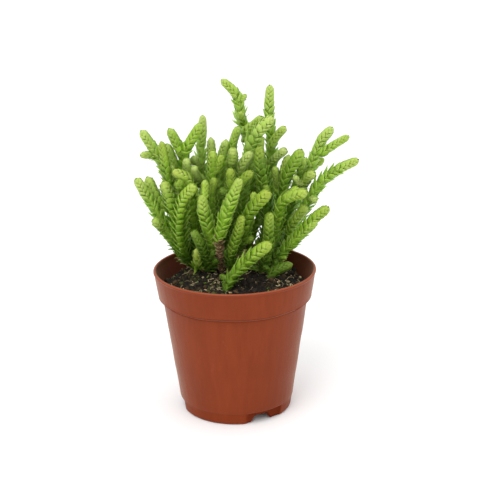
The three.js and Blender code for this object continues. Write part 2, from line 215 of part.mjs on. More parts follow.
function bentShoot(path) {
  const curve = new THREE.CatmullRomCurve3(path.map((p) => new THREE.Vector3(p[0], p[1], p[2])), false, 'catmullrom', 0.5);
  curve.arcLengthDivisions = 200;
  const length = curve.getLength();
  const marks = [0];
  for (let i = 1; i < path.length; i++) {
    marks.push(marks[i - 1] + Math.hypot(path[i][0] - path[i - 1][0], path[i][1] - path[i - 1][1], path[i][2] - path[i - 1][2]));
  }
  const total = marks[marks.length - 1];
  const radius = (t) => {
    const s = Math.min(Math.max(t, 0), 1) * total;
    let i = 1;
    while (i < marks.length - 1 && marks[i] < s) i++;
    const f = (s - marks[i - 1]) / Math.max(marks[i] - marks[i - 1], 1e-6);
    return ROD_K * (path[i - 1][3] * (1 - f) + path[i][3] * f);
  };
  const rt = radius(0);
  const re = radius(1);
  const n = Math.max(2, Math.round(length / 7.5));
  const profile = [[0, -rt * 0.85], [rt * 0.62, -rt * 0.55], [rt * 0.93, rt * 0.15]];
  for (let i = 1; i < n; i++) profile.push([radius(i / n), (length * i) / n]);
  profile.push([re * 0.97, length], [re * 0.6, length + re * 0.75], [0, length + re]);
  const g = new THREE.LatheGeometry(profile.map(([r, y]) => new THREE.Vector2(r, y)), ROD_SIDES);
  const steps = 60;
  const frames = curve.computeFrenetFrames(steps, false);
  const p = g.attributes.position;
  const c = new THREE.Vector3();
  for (let i = 0; i < p.count; i++) {
    const y = p.getY(i);
    const t = Math.min(Math.max(y / length, 0), 1);
    const k = Math.round(t * steps);
    curve.getPointAt(t, c);
    const T = frames.tangents[k];
    const over = y < 0 ? y : y > length ? y - length : 0;
    c.addScaledVector(T, over);
    c.addScaledVector(frames.normals[k], p.getX(i));
    c.addScaledVector(frames.binormals[k], -p.getZ(i));
    p.setXYZ(i, c.x, c.y, c.z);
  }
  let s = toSolid(g);
  if (s.volume() < 0) throw new Error('shoot is inside out');
  return s;
}

let index = 0;
for (const [name, shoot] of Object.entries(SHOOTS)) {
  let s = bentShoot(shoot.path);
  for (const bud of shoot.buds ?? []) s = s.add(bentShoot(bud));
  addPiece(name, toGeometry(s), leafMat(index++));
}

// ---- origin --------------------------------------------------------------
// Bottom centre of the bounding box.
const box = new THREE.Box3().setFromObject(group);
group.position.set(-(box.min.x + box.max.x) / 2, -(box.min.y + box.max.y) / 2, 0);
group.updateMatrixWorld(true);

export default group;
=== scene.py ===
import math
import random

import bpy
import numpy as np
from mathutils import Matrix, Vector, noise
from mathutils.geometry import delaunay_2d_cdt


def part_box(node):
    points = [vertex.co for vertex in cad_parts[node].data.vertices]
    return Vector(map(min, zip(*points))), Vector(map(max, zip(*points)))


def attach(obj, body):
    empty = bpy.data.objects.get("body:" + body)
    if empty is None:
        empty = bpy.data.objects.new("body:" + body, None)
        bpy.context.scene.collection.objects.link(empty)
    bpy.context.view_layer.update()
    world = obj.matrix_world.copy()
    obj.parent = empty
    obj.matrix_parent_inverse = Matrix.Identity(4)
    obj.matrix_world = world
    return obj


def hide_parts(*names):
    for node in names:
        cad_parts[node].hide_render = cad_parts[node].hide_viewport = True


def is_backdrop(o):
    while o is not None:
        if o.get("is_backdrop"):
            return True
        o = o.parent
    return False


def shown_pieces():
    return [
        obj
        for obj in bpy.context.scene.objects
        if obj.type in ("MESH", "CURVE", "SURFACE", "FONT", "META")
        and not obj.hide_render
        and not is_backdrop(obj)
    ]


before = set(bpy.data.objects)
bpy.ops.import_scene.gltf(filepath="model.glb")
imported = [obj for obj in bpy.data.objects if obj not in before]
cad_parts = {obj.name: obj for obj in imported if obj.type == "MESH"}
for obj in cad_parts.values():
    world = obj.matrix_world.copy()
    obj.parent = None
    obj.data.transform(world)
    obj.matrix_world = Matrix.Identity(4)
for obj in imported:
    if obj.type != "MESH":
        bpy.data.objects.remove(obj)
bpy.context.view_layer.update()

LOW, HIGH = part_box("pot")
AXIS = np.array([(LOW.x + HIGH.x) / 2, (LOW.y + HIGH.y) / 2, LOW.z])

# ---- pot and soil dimensions, as in the CAD model ------------------------
RIM_R, POT_H, LIP_H, LIP_OUT = 42.5, 76.4, 1.5, 0.45
BAND_H, BAND_R, NECK_R, BASE_R = 14.6, 40.15, 38.0, 29.3
WALL, FLOOR_Z, FLOOR_T = 0.9, 5.0, 1.0
FOOT_T, NOTCH_H = 4.4, 4.55
NOTCHES = (-62.6, 57.4, 177.4)
HOLE_R, HOLE_PCD_R = 2.6, 19.0
SOIL_EDGE_Z, SOIL_RISE, SOIL_MOUND_R, SOIL_MOUND_Y = 65.0, 6.8, 37.5, 6.0
BAND_Z = POT_H - BAND_H

# ---- the shoots ----------------------------------------------------------
# (CAD node, how it starts, the node it grows from, turn of the leaf ranks in
#  degrees, how far the tips spread, how yellow the tip is, millimetres of
#  withered leaves at the lower end, millimetres of bare stem there,
#  how fresh the growing tip is, how pale (+) or deep (-) the green is, partly
#  the shoot's own green and partly painted light and shade,
#  points from the tip down: x, y, z, radius over the leaf tips)
SHOOTS = [
    ('shoot_01', 'soil', '', 45, 0.5, 0.35, 6, 0, 0.85, -0.1,
     [(-46.5, 9.0, 147.7, 2.63), (-45.6, 9.4, 146.1, 2.63), (-43.6, 10.3, 142.5, 2.74), (-42.4, 10.9, 140.3, 2.89), (-40.5, 11.8, 137.0, 3.13), (-39.2, 12.5, 134.5, 3.14), (-37.9, 13.3, 131.4, 3.15), (-36.8, 14.0, 128.2, 3.13), (-34.7, 15.5, 121.9, 3.07), (-32.9, 17.1, 115.5, 3.05), (-31.1, 18.7, 109.1, 3.05), (-29.5, 20.3, 102.7, 3.05), (-27.9, 21.9, 96.2, 3.05), (-26.3, 23.6, 89.8, 3.05), (-24.7, 25.1, 83.3, 3.07), (-23.0, 26.7, 76.9, 3.03), (-21.0, 28.3, 70.6, 2.53)]),
    ('shoot_02', 'soil', '', 45, 0.5, 0.1, 6, 0, 0.85, -0.4,
     [(-32.2, 7.9, 148.7, 2.57), (-31.5, 8.3, 147.0, 2.57), (-30.3, 8.9, 144.3, 2.72), (-28.7, 9.8, 140.5, 2.95), (-26.6, 10.9, 135.9, 3.26), (-25.9, 11.3, 134.0, 3.32), (-25.3, 11.9, 131.4, 3.41), (-24.6, 12.9, 127.1, 3.35), (-23.8, 14.6, 120.1, 3.22), (-23.1, 16.4, 113.1, 3.14), (-22.3, 18.3, 106.1, 3.15), (-21.4, 20.2, 99.2, 3.15), (-20.3, 22.1, 92.3, 3.15), (-19.0, 24.0, 85.4, 3.18), (-17.3, 25.9, 78.6, 3.13), (-15.3, 27.8, 71.9, 2.53)]),
    ('shoot_03', 'side', 'shoot_02', 45, 0.4, 0.2, 0, 0, 0.85, -0.5,
     [(-15.5, 2.6, 152.1, 2.64), (-16.5, 2.9, 150.6, 2.64), (-18.8, 3.5, 147.0, 2.84), (-21.1, 4.1, 143.4, 2.95), (-23.1, 4.7, 139.6, 3.07), (-24.2, 5.3, 138.6, 3.10), (-26.4, 6.4, 137.3, 3.11)]),
    ('shoot_04', 'soil', '', 45, 0.9, 0.3, 6, 0, 0.85, 0.3,
     [(-15.2, 18.8, 153.3, 2.06), (-15.3, 19.0, 151.4, 2.06), (-15.4, 19.2, 149.7, 2.26), (-15.6, 19.7, 144.6, 2.52), (-16.2, 20.2, 140.1, 2.75), (-16.4, 20.4, 137.8, 2.79), (-16.7, 21.2, 131.0, 2.90), (-16.7, 21.5, 129.0, 2.89), (-16.5, 22.3, 124.3, 2.85), (-16.2, 23.5, 117.6, 2.81), (-15.9, 24.8, 110.9, 2.77), (-15.4, 26.2, 104.2, 2.77), (-14.8, 27.6, 97.5, 2.77), (-14.0, 29.1, 90.9, 2.78), (-12.8, 30.5, 84.3, 2.79), (-11.4, 31.9, 77.8, 2.73), (-9.9, 33.3, 71.3, 2.53)]),
    ('shoot_05', 'side', 'shoot_14', 20, 0.4, 0.5, 0, 0, 0.85, -0.8,
     [(-35.9, 0.4, 143.7, 1.99), (-35.7, 0.5, 141.9, 1.99), (-35.2, 0.8, 137.8, 2.24), (-34.6, 1.1, 133.7, 2.57), (-34.0, 1.3, 129.6, 2.58), (-33.5, 1.2, 125.5, 2.73), (-33.0, 0.4, 121.0, 2.73)]),
    ('shoot_06', 'side', 'shoot_02', 30, 0.4, 0.1, 0, 0, 0.85, -0.1,
     [(-33.7, 10.0, 140.4, 2.07), (-33.3, 10.3, 139.0, 2.07), (-32.3, 11.0, 135.7, 2.36), (-31.2, 11.7, 132.3, 2.45), (-30.1, 12.4, 128.9, 2.73), (-28.6, 13.1, 125.7, 2.73)]),
    ('shoot_07', 'side', 'shoot_02', 10, 0.4, 0.35, 0, 0, 0.85, 1,
     [(-23.6, 1.7, 134.6, 2.32), (-23.6, 2.5, 133.0, 2.32), (-23.6, 4.4, 129.2, 2.33), (-23.5, 6.3, 125.4, 2.73), (-23.3, 8.4, 121.6, 2.73), (-23.2, 11.0, 118.0, 2.73)]),
    ('shoot_08', 'side', 'shoot_04', 0, 0.4, 0.8, 0, 0, 0.85, 1.5,
     [(-19.6, -4.9, 131.6, 1.89), (-19.5, -3.7, 130.6, 1.89), (-19.2, 1.5, 126.2, 2.17), (-18.3, 7.2, 122.4, 2.73), (-17.3, 13.1, 119.0, 2.73), (-16.4, 19.7, 116.1, 2.73)]),
    ('shoot_09', 'soil', '', 10, 0.4, 0.9, 5, 0, 0.85, -0.1,
     [(-30.2, -5.2, 129.9, 2.38), (-28.8, -4.4, 128.7, 2.38), (-27.5, -3.7, 127.8, 2.82), (-24.0, -1.6, 124.7, 3.75), (-23.2, -0.5, 122.2, 3.72), (-22.8, 1.0, 118.4, 3.63), (-22.3, 3.5, 111.9, 3.47), (-21.7, 6.1, 105.5, 3.33), (-21.1, 8.7, 99.0, 3.23), (-20.4, 11.2, 92.5, 3.24), (-19.6, 13.6, 86.1, 3.21), (-18.5, 16.0, 79.6, 3.06), (-17.4, 18.2, 73.1, 2.53)]),
    ('shoot_10', 'soil', '', 0, 0.45, 0.3, 5, 0, 0.85, 0.5,
     [(-11.2, 13.8, 142.4, 2.10), (-11.2, 14.2, 140.7, 2.10), (-11.1, 15.7, 133.9, 2.73), (-11.2, 17.2, 127.0, 2.73), (-11.4, 18.7, 120.2, 2.73), (-11.5, 20.3, 113.4, 2.73), (-11.6, 21.9, 106.6, 2.73), (-11.6, 23.4, 99.8, 2.73), (-11.4, 24.8, 93.0, 2.73), (-11.1, 26.0, 86.1, 2.73), (-10.6, 27.2, 79.2, 2.73), (-10.0, 28.7, 72.5, 2.53)]),
    ('shoot_11', 'soil', '', 10, 0.45, 0.3, 5, 0, 0.85, -0.3,
     [(-10.1, 2.0, 138.2, 2.62), (-10.2, 2.5, 136.4, 2.62), (-10.3, 3.3, 133.2, 2.96), (-10.4, 4.3, 129.4, 2.98), (-10.8, 6.2, 122.4, 2.91), (-11.2, 8.1, 115.4, 2.90), (-11.6, 10.0, 108.4, 2.90), (-11.8, 11.9, 101.5, 2.90), (-12.1, 13.8, 94.5, 2.91), (-12.2, 15.7, 87.5, 2.92), (-12.2, 17.6, 80.5, 2.82), (-12.1, 19.4, 73.5, 2.53)]),
    ('shoot_12', 'soil', '', 40, 1, 0.4, 8, 0, 0.85, -0.1,
     [(-48.6, -8.0, 126.7, 2.58), (-47.9, -7.3, 125.2, 2.58), (-45.5, -4.8, 119.5, 2.72), (-42.9, -2.3, 114.0, 2.85), (-40.3, 0.2, 108.3, 2.95), (-38.9, 1.7, 105.0, 3.00), (-38.0, 2.7, 102.6, 3.11), (-35.8, 5.3, 96.8, 3.38), (-33.6, 8.0, 91.1, 3.31), (-31.5, 11.3, 85.8, 3.07), (-29.4, 15.0, 80.6, 2.45), (-27.3, 18.8, 75.6, 2.26), (-25.0, 22.8, 70.7, 2.10)]),
    ('shoot_13', 'side', 'shoot_12', 20, 0.4, 0.35, 0, 0, 0.85, -0.1,
     [(-43.7, 1.0, 125.2, 2.89), (-43.2, 1.3, 123.5, 2.89), (-42.0, 2.1, 119.5, 3.00), (-40.4, 2.8, 115.7, 3.11), (-38.5, 3.6, 111.9, 3.08), (-36.9, 4.1, 107.9, 2.73)]),
    ('shoot_14', 'soil', '', 0, 0.4, 0.4, 4, 0, 0.85, -0.1,
     [(-35.4, -6.1, 124.3, 2.96), (-34.8, -5.2, 122.5, 2.96), (-33.8, -3.7, 119.6, 3.20), (-32.7, -2.0, 116.2, 3.65), (-32.2, -0.7, 113.5, 4.01), (-31.7, 1.1, 109.6, 4.03), (-31.2, 2.8, 106.1, 4.05), (-30.7, 4.3, 103.1, 3.93), (-29.4, 7.6, 96.6, 3.68), (-27.7, 11.1, 90.3, 3.40), (-25.6, 14.6, 84.1, 2.93), (-24.5, 16.4, 81.1, 2.71), (-23.3, 18.2, 78.1, 2.54), (-20.9, 21.7, 72.1, 2.21)]),
    ('shoot_15', 'soil', '', 8, 0.35, 0.45, 3, 0, 0.85, -0.3,
     [(-19.1, -18.0, 125.3, 2.91), (-20.3, -16.8, 123.7, 2.91), (-21.9, -15.3, 121.7, 3.15), (-24.0, -13.2, 118.9, 3.29), (-25.4, -11.4, 116.2, 3.43), (-26.4, -9.6, 113.3, 3.53), (-27.0, -7.8, 110.0, 3.64), (-27.4, -6.2, 107.2, 3.69), (-28.0, -2.7, 101.1, 3.80), (-28.2, 0.7, 94.9, 3.91), (-28.2, 1.6, 93.4, 3.93), (-27.9, 4.2, 88.8, 3.69), (-27.5, 5.4, 86.8, 3.58), (-26.4, 8.0, 83.0, 3.24), (-25.4, 10.5, 79.5, 2.95), (-24.7, 12.1, 77.5, 2.79), (-22.9, 16.4, 72.2, 2.45)]),
    ('shoot_16', 'soil', '', 40, 0.55, 0.4, 2, 0, 0.85, 0,
     [(-15.8, -16.1, 119.7, 2.55), (-15.6, -15.2, 117.7, 2.55), (-15.1, -12.3, 111.1, 3.55), (-14.1, -9.5, 104.6, 3.55), (-12.9, -6.5, 98.2, 3.52), (-11.8, -3.5, 91.8, 3.32), (-11.0, 0.2, 85.7, 3.16), (-10.8, 4.4, 79.9, 3.07), (-10.9, 8.4, 73.9, 2.53)]),
    ('shoot_17', 'soil', '', 0, 0.4, 0.5, 4, 0, 0.85, -0.7,
     [(-9.5, -5.2, 125.9, 2.30), (-9.8, -4.6, 124.2, 2.30), (-10.8, -2.5, 117.9, 2.32), (-10.9, -0.4, 111.6, 2.73), (-10.5, 1.9, 105.3, 2.73), (-10.2, 4.3, 99.1, 2.73), (-9.9, 6.6, 92.8, 2.73), (-9.7, 8.9, 86.5, 2.73), (-9.4, 11.1, 80.2, 2.73), (-9.1, 13.2, 73.9, 2.53)]),
    ('shoot_18', 'soil', '', 45, 1, 0.35, 6, 0, 0.85, -0.1,
     [(-5.1, 25.9, 170.6, 2.21), (-3.9, 26.0, 169.3, 2.21), (-1.0, 26.3, 166.6, 2.48), (1.1, 26.5, 164.2, 2.65), (2.1, 26.6, 162.4, 2.77), (3.7, 26.8, 157.6, 2.91), (4.0, 26.9, 155.0, 2.82), (4.1, 27.0, 152.3, 3.18), (4.3, 27.1, 150.5, 3.19), (6.0, 27.3, 146.7, 2.96), (7.7, 27.5, 143.5, 2.81), (9.1, 27.7, 140.2, 2.78), (9.2, 27.9, 136.3, 2.80), (9.3, 28.2, 132.7, 2.80), (9.3, 28.5, 129.1, 2.80), (9.4, 28.9, 123.8, 2.80), (9.4, 29.0, 122.0, 2.80), (9.3, 29.3, 118.1, 2.80), (8.6, 29.6, 114.8, 2.80), (7.0, 30.2, 107.6, 2.80), (6.2, 30.8, 100.5, 2.80), (5.9, 31.3, 93.3, 2.80), (5.3, 31.8, 86.2, 2.82), (4.6, 32.3, 79.0, 2.73), (3.8, 32.7, 71.9, 2.53)]),
    ('shoot_19', 'soil', '', 40, 0.6, 0.25, 6, 0, 0.85, -0.1,
     [(19.8, 18.9, 168.4, 2.28), (19.7, 19.1, 166.5, 2.28), (19.6, 19.3, 164.8, 2.51), (19.3, 19.7, 159.7, 2.75), (19.2, 19.8, 158.0, 2.83), (19.2, 20.2, 152.9, 2.86), (19.8, 20.7, 146.2, 2.92), (20.2, 21.3, 139.4, 3.18), (20.3, 21.9, 132.6, 3.11), (20.3, 22.2, 129.2, 3.05), (20.2, 22.6, 125.8, 2.99), (20.0, 23.3, 119.0, 2.90), (19.7, 24.0, 112.3, 2.89), (19.2, 24.7, 105.5, 2.89), (18.6, 25.5, 98.8, 2.89), (17.8, 26.3, 92.0, 2.89), (16.7, 27.0, 85.3, 2.91), (15.3, 27.8, 78.7, 2.86), (13.7, 28.5, 72.1, 2.53)]),
    ('shoot_20', 'soil', '', 45, 0.6, 0.3, 4, 0, 0.85, 0.2,
     [(20.4, 0.9, 155.3, 2.65), (19.1, 1.6, 153.9, 2.65), (17.3, 2.5, 152.0, 3.21), (14.8, 3.8, 149.2, 3.52), (11.2, 5.8, 143.9, 3.66), (10.5, 6.3, 142.4, 3.66), (9.1, 7.8, 137.8, 3.51), (7.9, 9.7, 131.4, 3.45), (6.8, 11.6, 125.0, 3.36), (5.9, 13.5, 118.5, 3.24), (5.1, 15.4, 112.1, 3.16), (4.3, 17.3, 105.7, 3.06), (3.7, 19.3, 99.2, 3.02), (3.0, 21.2, 92.7, 3.02), (2.3, 23.0, 86.3, 2.97), (1.5, 24.7, 79.8, 2.85), (0.5, 26.3, 73.3, 2.53)]),
    ('shoot_21', 'side', 'shoot_18', 45, 0.4, 0.2, 0, 0, 0.85, -0.1,
     [(15.2, 16.3, 152.6, 1.97), (14.1, 17.1, 151.4, 1.97), (11.4, 19.0, 148.5, 2.08), (8.7, 20.9, 145.6, 2.73), (5.9, 23.5, 142.8, 2.73)]),
    ('shoot_22', 'side', 'shoot_19', 40, 0.4, 0.4, 0, 0, 0.85, -0.1,
     [(27.2, 12.4, 147.8, 2.35), (26.2, 13.0, 146.5, 2.35), (23.8, 14.5, 143.6, 2.36), (21.6, 15.8, 140.3, 2.36), (20.1, 17.3, 136.8, 2.73)]),
    ('shoot_23', 'side', 'shoot_19', 40, 0.4, 0.35, 0, 0, 0.85, 0.7,
     [(27.3, 6.9, 137.2, 2.39), (26.4, 8.0, 136.2, 2.39), (24.3, 10.4, 134.0, 2.40), (22.4, 12.7, 131.7, 2.41), (20.8, 15.2, 129.3, 2.43), (19.4, 18.4, 126.9, 2.73)]),
    ('shoot_24', 'soil', '', 45, 0.8, 0.15, 6, 0, 0.85, -0.1,
     [(3.2, 17.7, 147.3, 2.39), (2.6, 17.9, 145.6, 2.39), (0.4, 18.5, 139.2, 2.51), (-0.4, 19.0, 134.8, 2.59), (-0.7, 19.2, 132.6, 2.73), (-1.2, 20.0, 126.0, 2.73), (-1.6, 21.0, 119.3, 2.73), (-1.9, 22.0, 112.7, 2.73), (-2.1, 23.0, 106.1, 2.73), (-2.3, 24.1, 99.4, 2.73), (-2.5, 25.2, 92.8, 2.73), (-2.7, 26.2, 86.2, 2.73), (-3.1, 27.1, 79.5, 2.73), (-3.5, 28.0, 72.9, 2.53)]),
    ('shoot_25', 'soil', '', 30, 0.7, 0.05, 6, 0, 0.85, 0.3,
     [(-3.2, 16.4, 140.6, 2.40), (-3.6, 16.6, 139.1, 2.40), (-5.5, 17.6, 132.8, 2.63), (-6.3, 18.5, 126.2, 2.86), (-6.8, 19.4, 119.6, 2.96), (-7.0, 20.3, 113.0, 2.95), (-7.1, 21.1, 106.3, 2.95), (-7.2, 21.9, 99.7, 2.96), (-7.4, 22.6, 93.1, 2.91), (-7.5, 23.2, 86.4, 2.82), (-7.6, 23.8, 79.8, 2.73), (-7.9, 24.7, 73.1, 2.53)]),
    ('shoot_26', 'side', 'shoot_24', 0, 0.4, 0.5, 0, 0, 0.85, 0.3,
     [(0.1, -4.8, 140.7, 2.52), (0.1, -3.8, 139.5, 2.52), (0.1, -1.3, 136.6, 2.73), (0.0, -0.1, 135.3, 2.82), (-0.1, 1.3, 133.7, 2.83), (-0.4, 4.1, 131.1, 2.85), (-0.7, 7.6, 129.4, 2.87), (-0.8, 11.3, 128.6, 2.88), (-0.9, 15.7, 128.1, 2.91)]),
    ('shoot_27', 'soil', '', 15, 0.5, 0.55, 2, 0, 0.85, -1,
     [(13.6, -6.2, 141.8, 2.48), (13.6, -5.6, 139.8, 2.48), (13.6, -4.4, 135.5, 3.10), (13.7, -3.7, 133.0, 3.23), (14.2, -2.5, 128.9, 3.43), (14.6, -1.8, 126.4, 3.40), (15.1, -0.7, 123.1, 3.35), (15.5, 0.5, 119.9, 3.33), (16.2, 3.0, 113.4, 3.24), (16.6, 5.5, 106.8, 3.14), (16.8, 7.8, 100.2, 3.05), (16.5, 10.0, 93.6, 2.96), (15.7, 12.0, 86.9, 2.85), (14.4, 13.7, 80.3, 2.73), (12.8, 15.3, 73.7, 2.53)]),
    ('shoot_28', 'side', 'shoot_20', 30, 0.4, 0.1, 0, 0, 0.85, -0.2,
     [(14.3, 9.3, 144.3, 2.57), (14.1, 9.5, 142.7, 2.57), (13.8, 9.7, 140.2, 2.73), (13.6, 9.9, 138.4, 2.73), (12.6, 10.1, 134.2, 2.73)]),
    ('shoot_29', 'side', 'shoot_20', 30, 0.4, 0.4, 0, 0, 0.85, 0.5,
     [(9.7, -0.6, 137.7, 2.59), (8.8, 0.2, 136.4, 2.59), (6.7, 2.0, 133.4, 2.93), (4.9, 3.7, 130.2, 3.04), (3.9, 5.7, 126.7, 3.12), (4.3, 8.3, 123.4, 2.73)]),
    ('shoot_30', 'soil', '', 45, 0.7, 0.1, 6, 0, 0.85, -0.1,
     [(51.4, 10.9, 147.3, 2.61), (50.3, 11.3, 146.0, 2.61), (48.5, 11.9, 143.8, 2.87), (46.1, 12.7, 140.7, 2.98), (43.6, 13.8, 134.4, 3.23), (42.3, 14.3, 131.2, 3.43), (41.0, 14.9, 128.1, 3.60), (40.2, 15.3, 126.3, 3.70), (38.2, 16.2, 122.0, 3.66), (35.5, 17.5, 115.7, 3.60), (32.9, 18.8, 109.5, 3.56), (30.5, 20.2, 103.2, 3.56), (28.0, 21.5, 96.9, 3.56), (25.5, 22.8, 90.6, 3.58), (22.9, 24.1, 84.3, 3.54), (20.5, 25.5, 78.0, 3.41), (18.7, 26.9, 71.5, 2.53)]),
    ('shoot_31', 'side', 'shoot_30', 45, 0.7, 0.15, 0, 0, 0.85, -0.5,
     [(59.6, 8.2, 143.3, 2.03), (58.1, 8.4, 142.4, 2.03), (55.0, 8.9, 140.5, 2.21), (51.9, 9.3, 138.5, 2.26), (48.9, 9.7, 136.3, 2.31), (45.9, 10.4, 133.9, 2.73)]),
    ('shoot_32', 'soil', '', 45, 1, 0.3, 6, 0, 0.85, -0.3,
     [(63.5, -2.1, 133.1, 2.39), (62.0, -1.4, 132.3, 2.39), (56.3, 1.1, 129.1, 2.72), (52.2, 2.9, 126.4, 2.85), (50.9, 3.5, 125.4, 2.93), (48.1, 4.8, 122.8, 3.12), (46.2, 5.7, 120.7, 3.13), (42.3, 7.7, 115.3, 3.15), (39.2, 9.4, 109.2, 3.07), (36.2, 11.0, 103.2, 3.04), (33.2, 12.7, 97.0, 3.02), (30.4, 14.4, 90.9, 3.02), (27.7, 16.1, 84.6, 3.05), (25.2, 17.8, 78.3, 2.97), (22.8, 19.4, 72.0, 2.53)]),
    ('shoot_33', 'soil', '', 40, 0.4, 0.25, 5, 0, 0.85, -0.9,
     [(35.1, 1.0, 138.1, 3.17), (34.1, 1.5, 136.3, 3.17), (33.3, 1.9, 134.8, 3.34), (30.8, 3.2, 130.4, 3.47), (28.9, 4.2, 127.0, 3.32), (27.7, 4.9, 124.5, 3.29), (27.1, 5.4, 122.6, 3.26), (26.2, 6.7, 118.0, 3.23), (25.0, 8.8, 111.6, 3.13), (23.7, 11.1, 105.2, 3.02), (22.3, 13.2, 98.8, 2.96), (20.7, 15.3, 92.4, 2.90), (18.9, 17.1, 86.0, 2.81), (16.9, 18.8, 79.6, 2.73), (14.8, 20.4, 73.2, 2.53)]),
    ('shoot_34', 'side', 'shoot_33', 10, 0.45, 0.3, 0, 0, 0.85, -0.1,
     [(28.8, 8.1, 133.8, 2.54), (28.4, 8.4, 132.1, 2.54), (27.6, 9.1, 128.6, 2.82), (26.6, 9.7, 125.2, 2.99), (25.3, 10.4, 121.8, 3.13), (23.9, 11.0, 118.5, 3.15), (22.8, 11.2, 115.0, 2.73)]),
    ('shoot_35', 'side', 'shoot_30', 20, 0.5, 0.7, 0, 0, 0.85, 0,
     [(42.0, 4.4, 125.2, 2.76), (40.9, 5.4, 124.3, 2.76), (38.5, 7.7, 122.3, 2.77), (37.4, 10.2, 119.6, 2.79), (37.2, 13.3, 116.7, 2.73)]),
    ('shoot_36', 'soil', '', 30, 0.6, 0.55, 1.5, 0, 0.85, -0.2,
     [(36.9, -9.2, 118.5, 3.19), (35.3, -8.3, 117.9, 3.19), (29.5, -5.1, 115.8, 3.21), (24.8, -2.1, 111.9, 3.23), (23.3, 0.4, 105.6, 3.13), (22.3, 3.0, 99.2, 3.00), (21.3, 5.6, 92.8, 2.94), (20.2, 8.3, 86.4, 2.88), (18.9, 10.5, 80.0, 2.74), (17.5, 12.4, 73.4, 2.53)]),
    ('shoot_37', 'side', 'shoot_32', 45, 0.5, 0.5, 0, 0, 0.85, -0.1,
     [(37.2, -0.5, 109.0, 2.81), (36.3, 0.3, 107.5, 2.81), (34.3, 2.0, 104.3, 2.82), (32.4, 3.7, 101.1, 2.84), (30.6, 5.5, 97.8, 2.85), (29.4, 7.5, 94.5, 2.86), (29.1, 10.6, 91.3, 2.73)]),
    ('shoot_38', 'soil', '', 50, 0.7, 0.35, 1, 0, 0.85, -0.5,
     [(47.8, -11.1, 111.0, 2.76), (46.4, -10.3, 109.6, 2.76), (44.3, -9.1, 107.6, 2.97), (41.8, -7.8, 105.1, 3.00), (37.6, -5.6, 100.2, 3.04), (36.2, -4.9, 98.5, 3.06), (33.5, -3.4, 95.2, 3.05), (29.6, -1.2, 90.0, 3.03), (28.3, -0.5, 88.2, 3.02), (25.7, 0.7, 84.7, 3.03), (23.5, 1.7, 81.5, 3.04), (22.0, 2.4, 79.2, 2.88), (18.6, 3.6, 73.4, 2.49)]),
    ('shoot_39', 'soil', '', 30, 0.6, 0.35, 0, 0, 0.85, -1.4,
     [(30.0, -0.8, 77.8, 2.64), (28.2, -0.9, 77.2, 2.64), (23.8, -1.1, 75.7, 2.89), (19.9, -1.3, 73.3, 2.69)]),
    ('shoot_40', 'soil', '', 30, 0.3, 0.8, 5, 10.5, 0.85, -0.5,
     [(17.7, -20.1, 122.0, 3.22), (16.3, -19.0, 120.3, 3.22), (15.1, -18.1, 118.9, 3.43), (12.3, -15.8, 115.4, 3.58), (10.1, -14.1, 112.8, 3.70), (8.4, -12.6, 110.4, 3.64), (7.3, -11.1, 107.8, 3.58), (6.4, -9.2, 104.5, 3.54), (5.2, -5.7, 98.5, 3.47), (4.1, -2.2, 92.4, 3.38), (2.9, 1.2, 86.3, 3.21), (1.7, 4.6, 80.2, 2.97), (0.5, 7.9, 74.0, 2.53)]),
    ('shoot_41', 'soil', '', 45, 0.4, 0.45, 1.5, 0, 0.85, -0.5,
     [(18.1, -14.0, 109.4, 2.51), (18.0, -13.2, 107.7, 2.51), (17.7, -11.6, 104.1, 2.73), (17.6, -10.6, 101.9, 2.77), (17.5, -7.9, 96.0, 2.86), (17.6, -6.5, 92.8, 2.91), (17.6, -5.2, 90.2, 2.94), (17.0, -3.1, 86.5, 2.98), (16.6, -2.1, 84.7, 3.01), (15.8, -0.2, 81.3, 3.06), (15.3, 1.0, 79.2, 2.91), (14.0, 4.2, 73.8, 2.51)]),
    ('shoot_42', 'soil', '', 45, 1, 0.55, 0, 0, 0.85, -0.2,
     [(18.2, -21.6, 95.9, 3.27), (16.3, -21.0, 94.3, 3.27), (13.7, -20.2, 92.2, 3.45), (10.7, -19.2, 89.6, 3.48), (5.2, -17.6, 84.4, 3.56), (0.2, -16.9, 78.9, 3.27), (-2.4, -17.1, 75.1, 2.57), (-3.7, -17.3, 72.6, 2.53)]),
    ('shoot_43', 'soil', '', 45, 0.6, 0.35, 0, 27.5, 0.85, -0.1,
     [(3.3, -26.0, 130.3, 2.33), (2.7, -25.3, 128.6, 2.33), (1.7, -24.2, 125.7, 2.55), (0.5, -22.8, 122.3, 2.84), (-0.9, -21.2, 118.4, 3.17), (-1.8, -20.2, 116.0, 3.28), (-3.4, -18.4, 111.5, 3.47), (-4.0, -17.6, 109.6, 3.48), (-5.8, -14.9, 103.2, 3.51), (-7.6, -12.1, 96.9, 2.97), (-7.8, -9.7, 92.7, 2.17), (-7.8, -8.4, 90.7, 2.13), (-7.7, -6.8, 88.2, 2.08), (-7.4, -4.4, 84.7, 1.99), (-7.3, -1.5, 80.9, 1.89), (-7.2, 0.0, 79.1, 1.89), (-6.9, 4.6, 73.6, 1.87)]),
    ('shoot_44', 'soil', '', 45, 0.45, 0.6, 3, 0, 0.85, -0.2,
     [(4.2, -17.1, 109.0, 2.23), (3.8, -16.2, 107.3, 2.23), (2.9, -14.2, 103.4, 2.60), (2.5, -13.2, 101.5, 2.68), (1.5, -10.9, 97.2, 2.88), (1.1, -10.2, 95.8, 2.88), (-0.5, -7.2, 90.1, 2.90), (-1.9, -3.9, 84.6, 2.93), (-2.2, 0.0, 79.2, 2.78), (-2.5, 4.1, 74.0, 2.53)]),
    ('shoot_45', 'side', 'shoot_46', 20, 0.4, 0.7, 0, 0, 0.85, -0.8,
     [(9.7, -7.9, 129.3, 2.54), (8.5, -7.4, 128.2, 2.54), (5.5, -6.1, 125.3, 2.55), (3.4, -4.9, 121.6, 2.56), (1.4, -3.6, 117.8, 2.73)]),
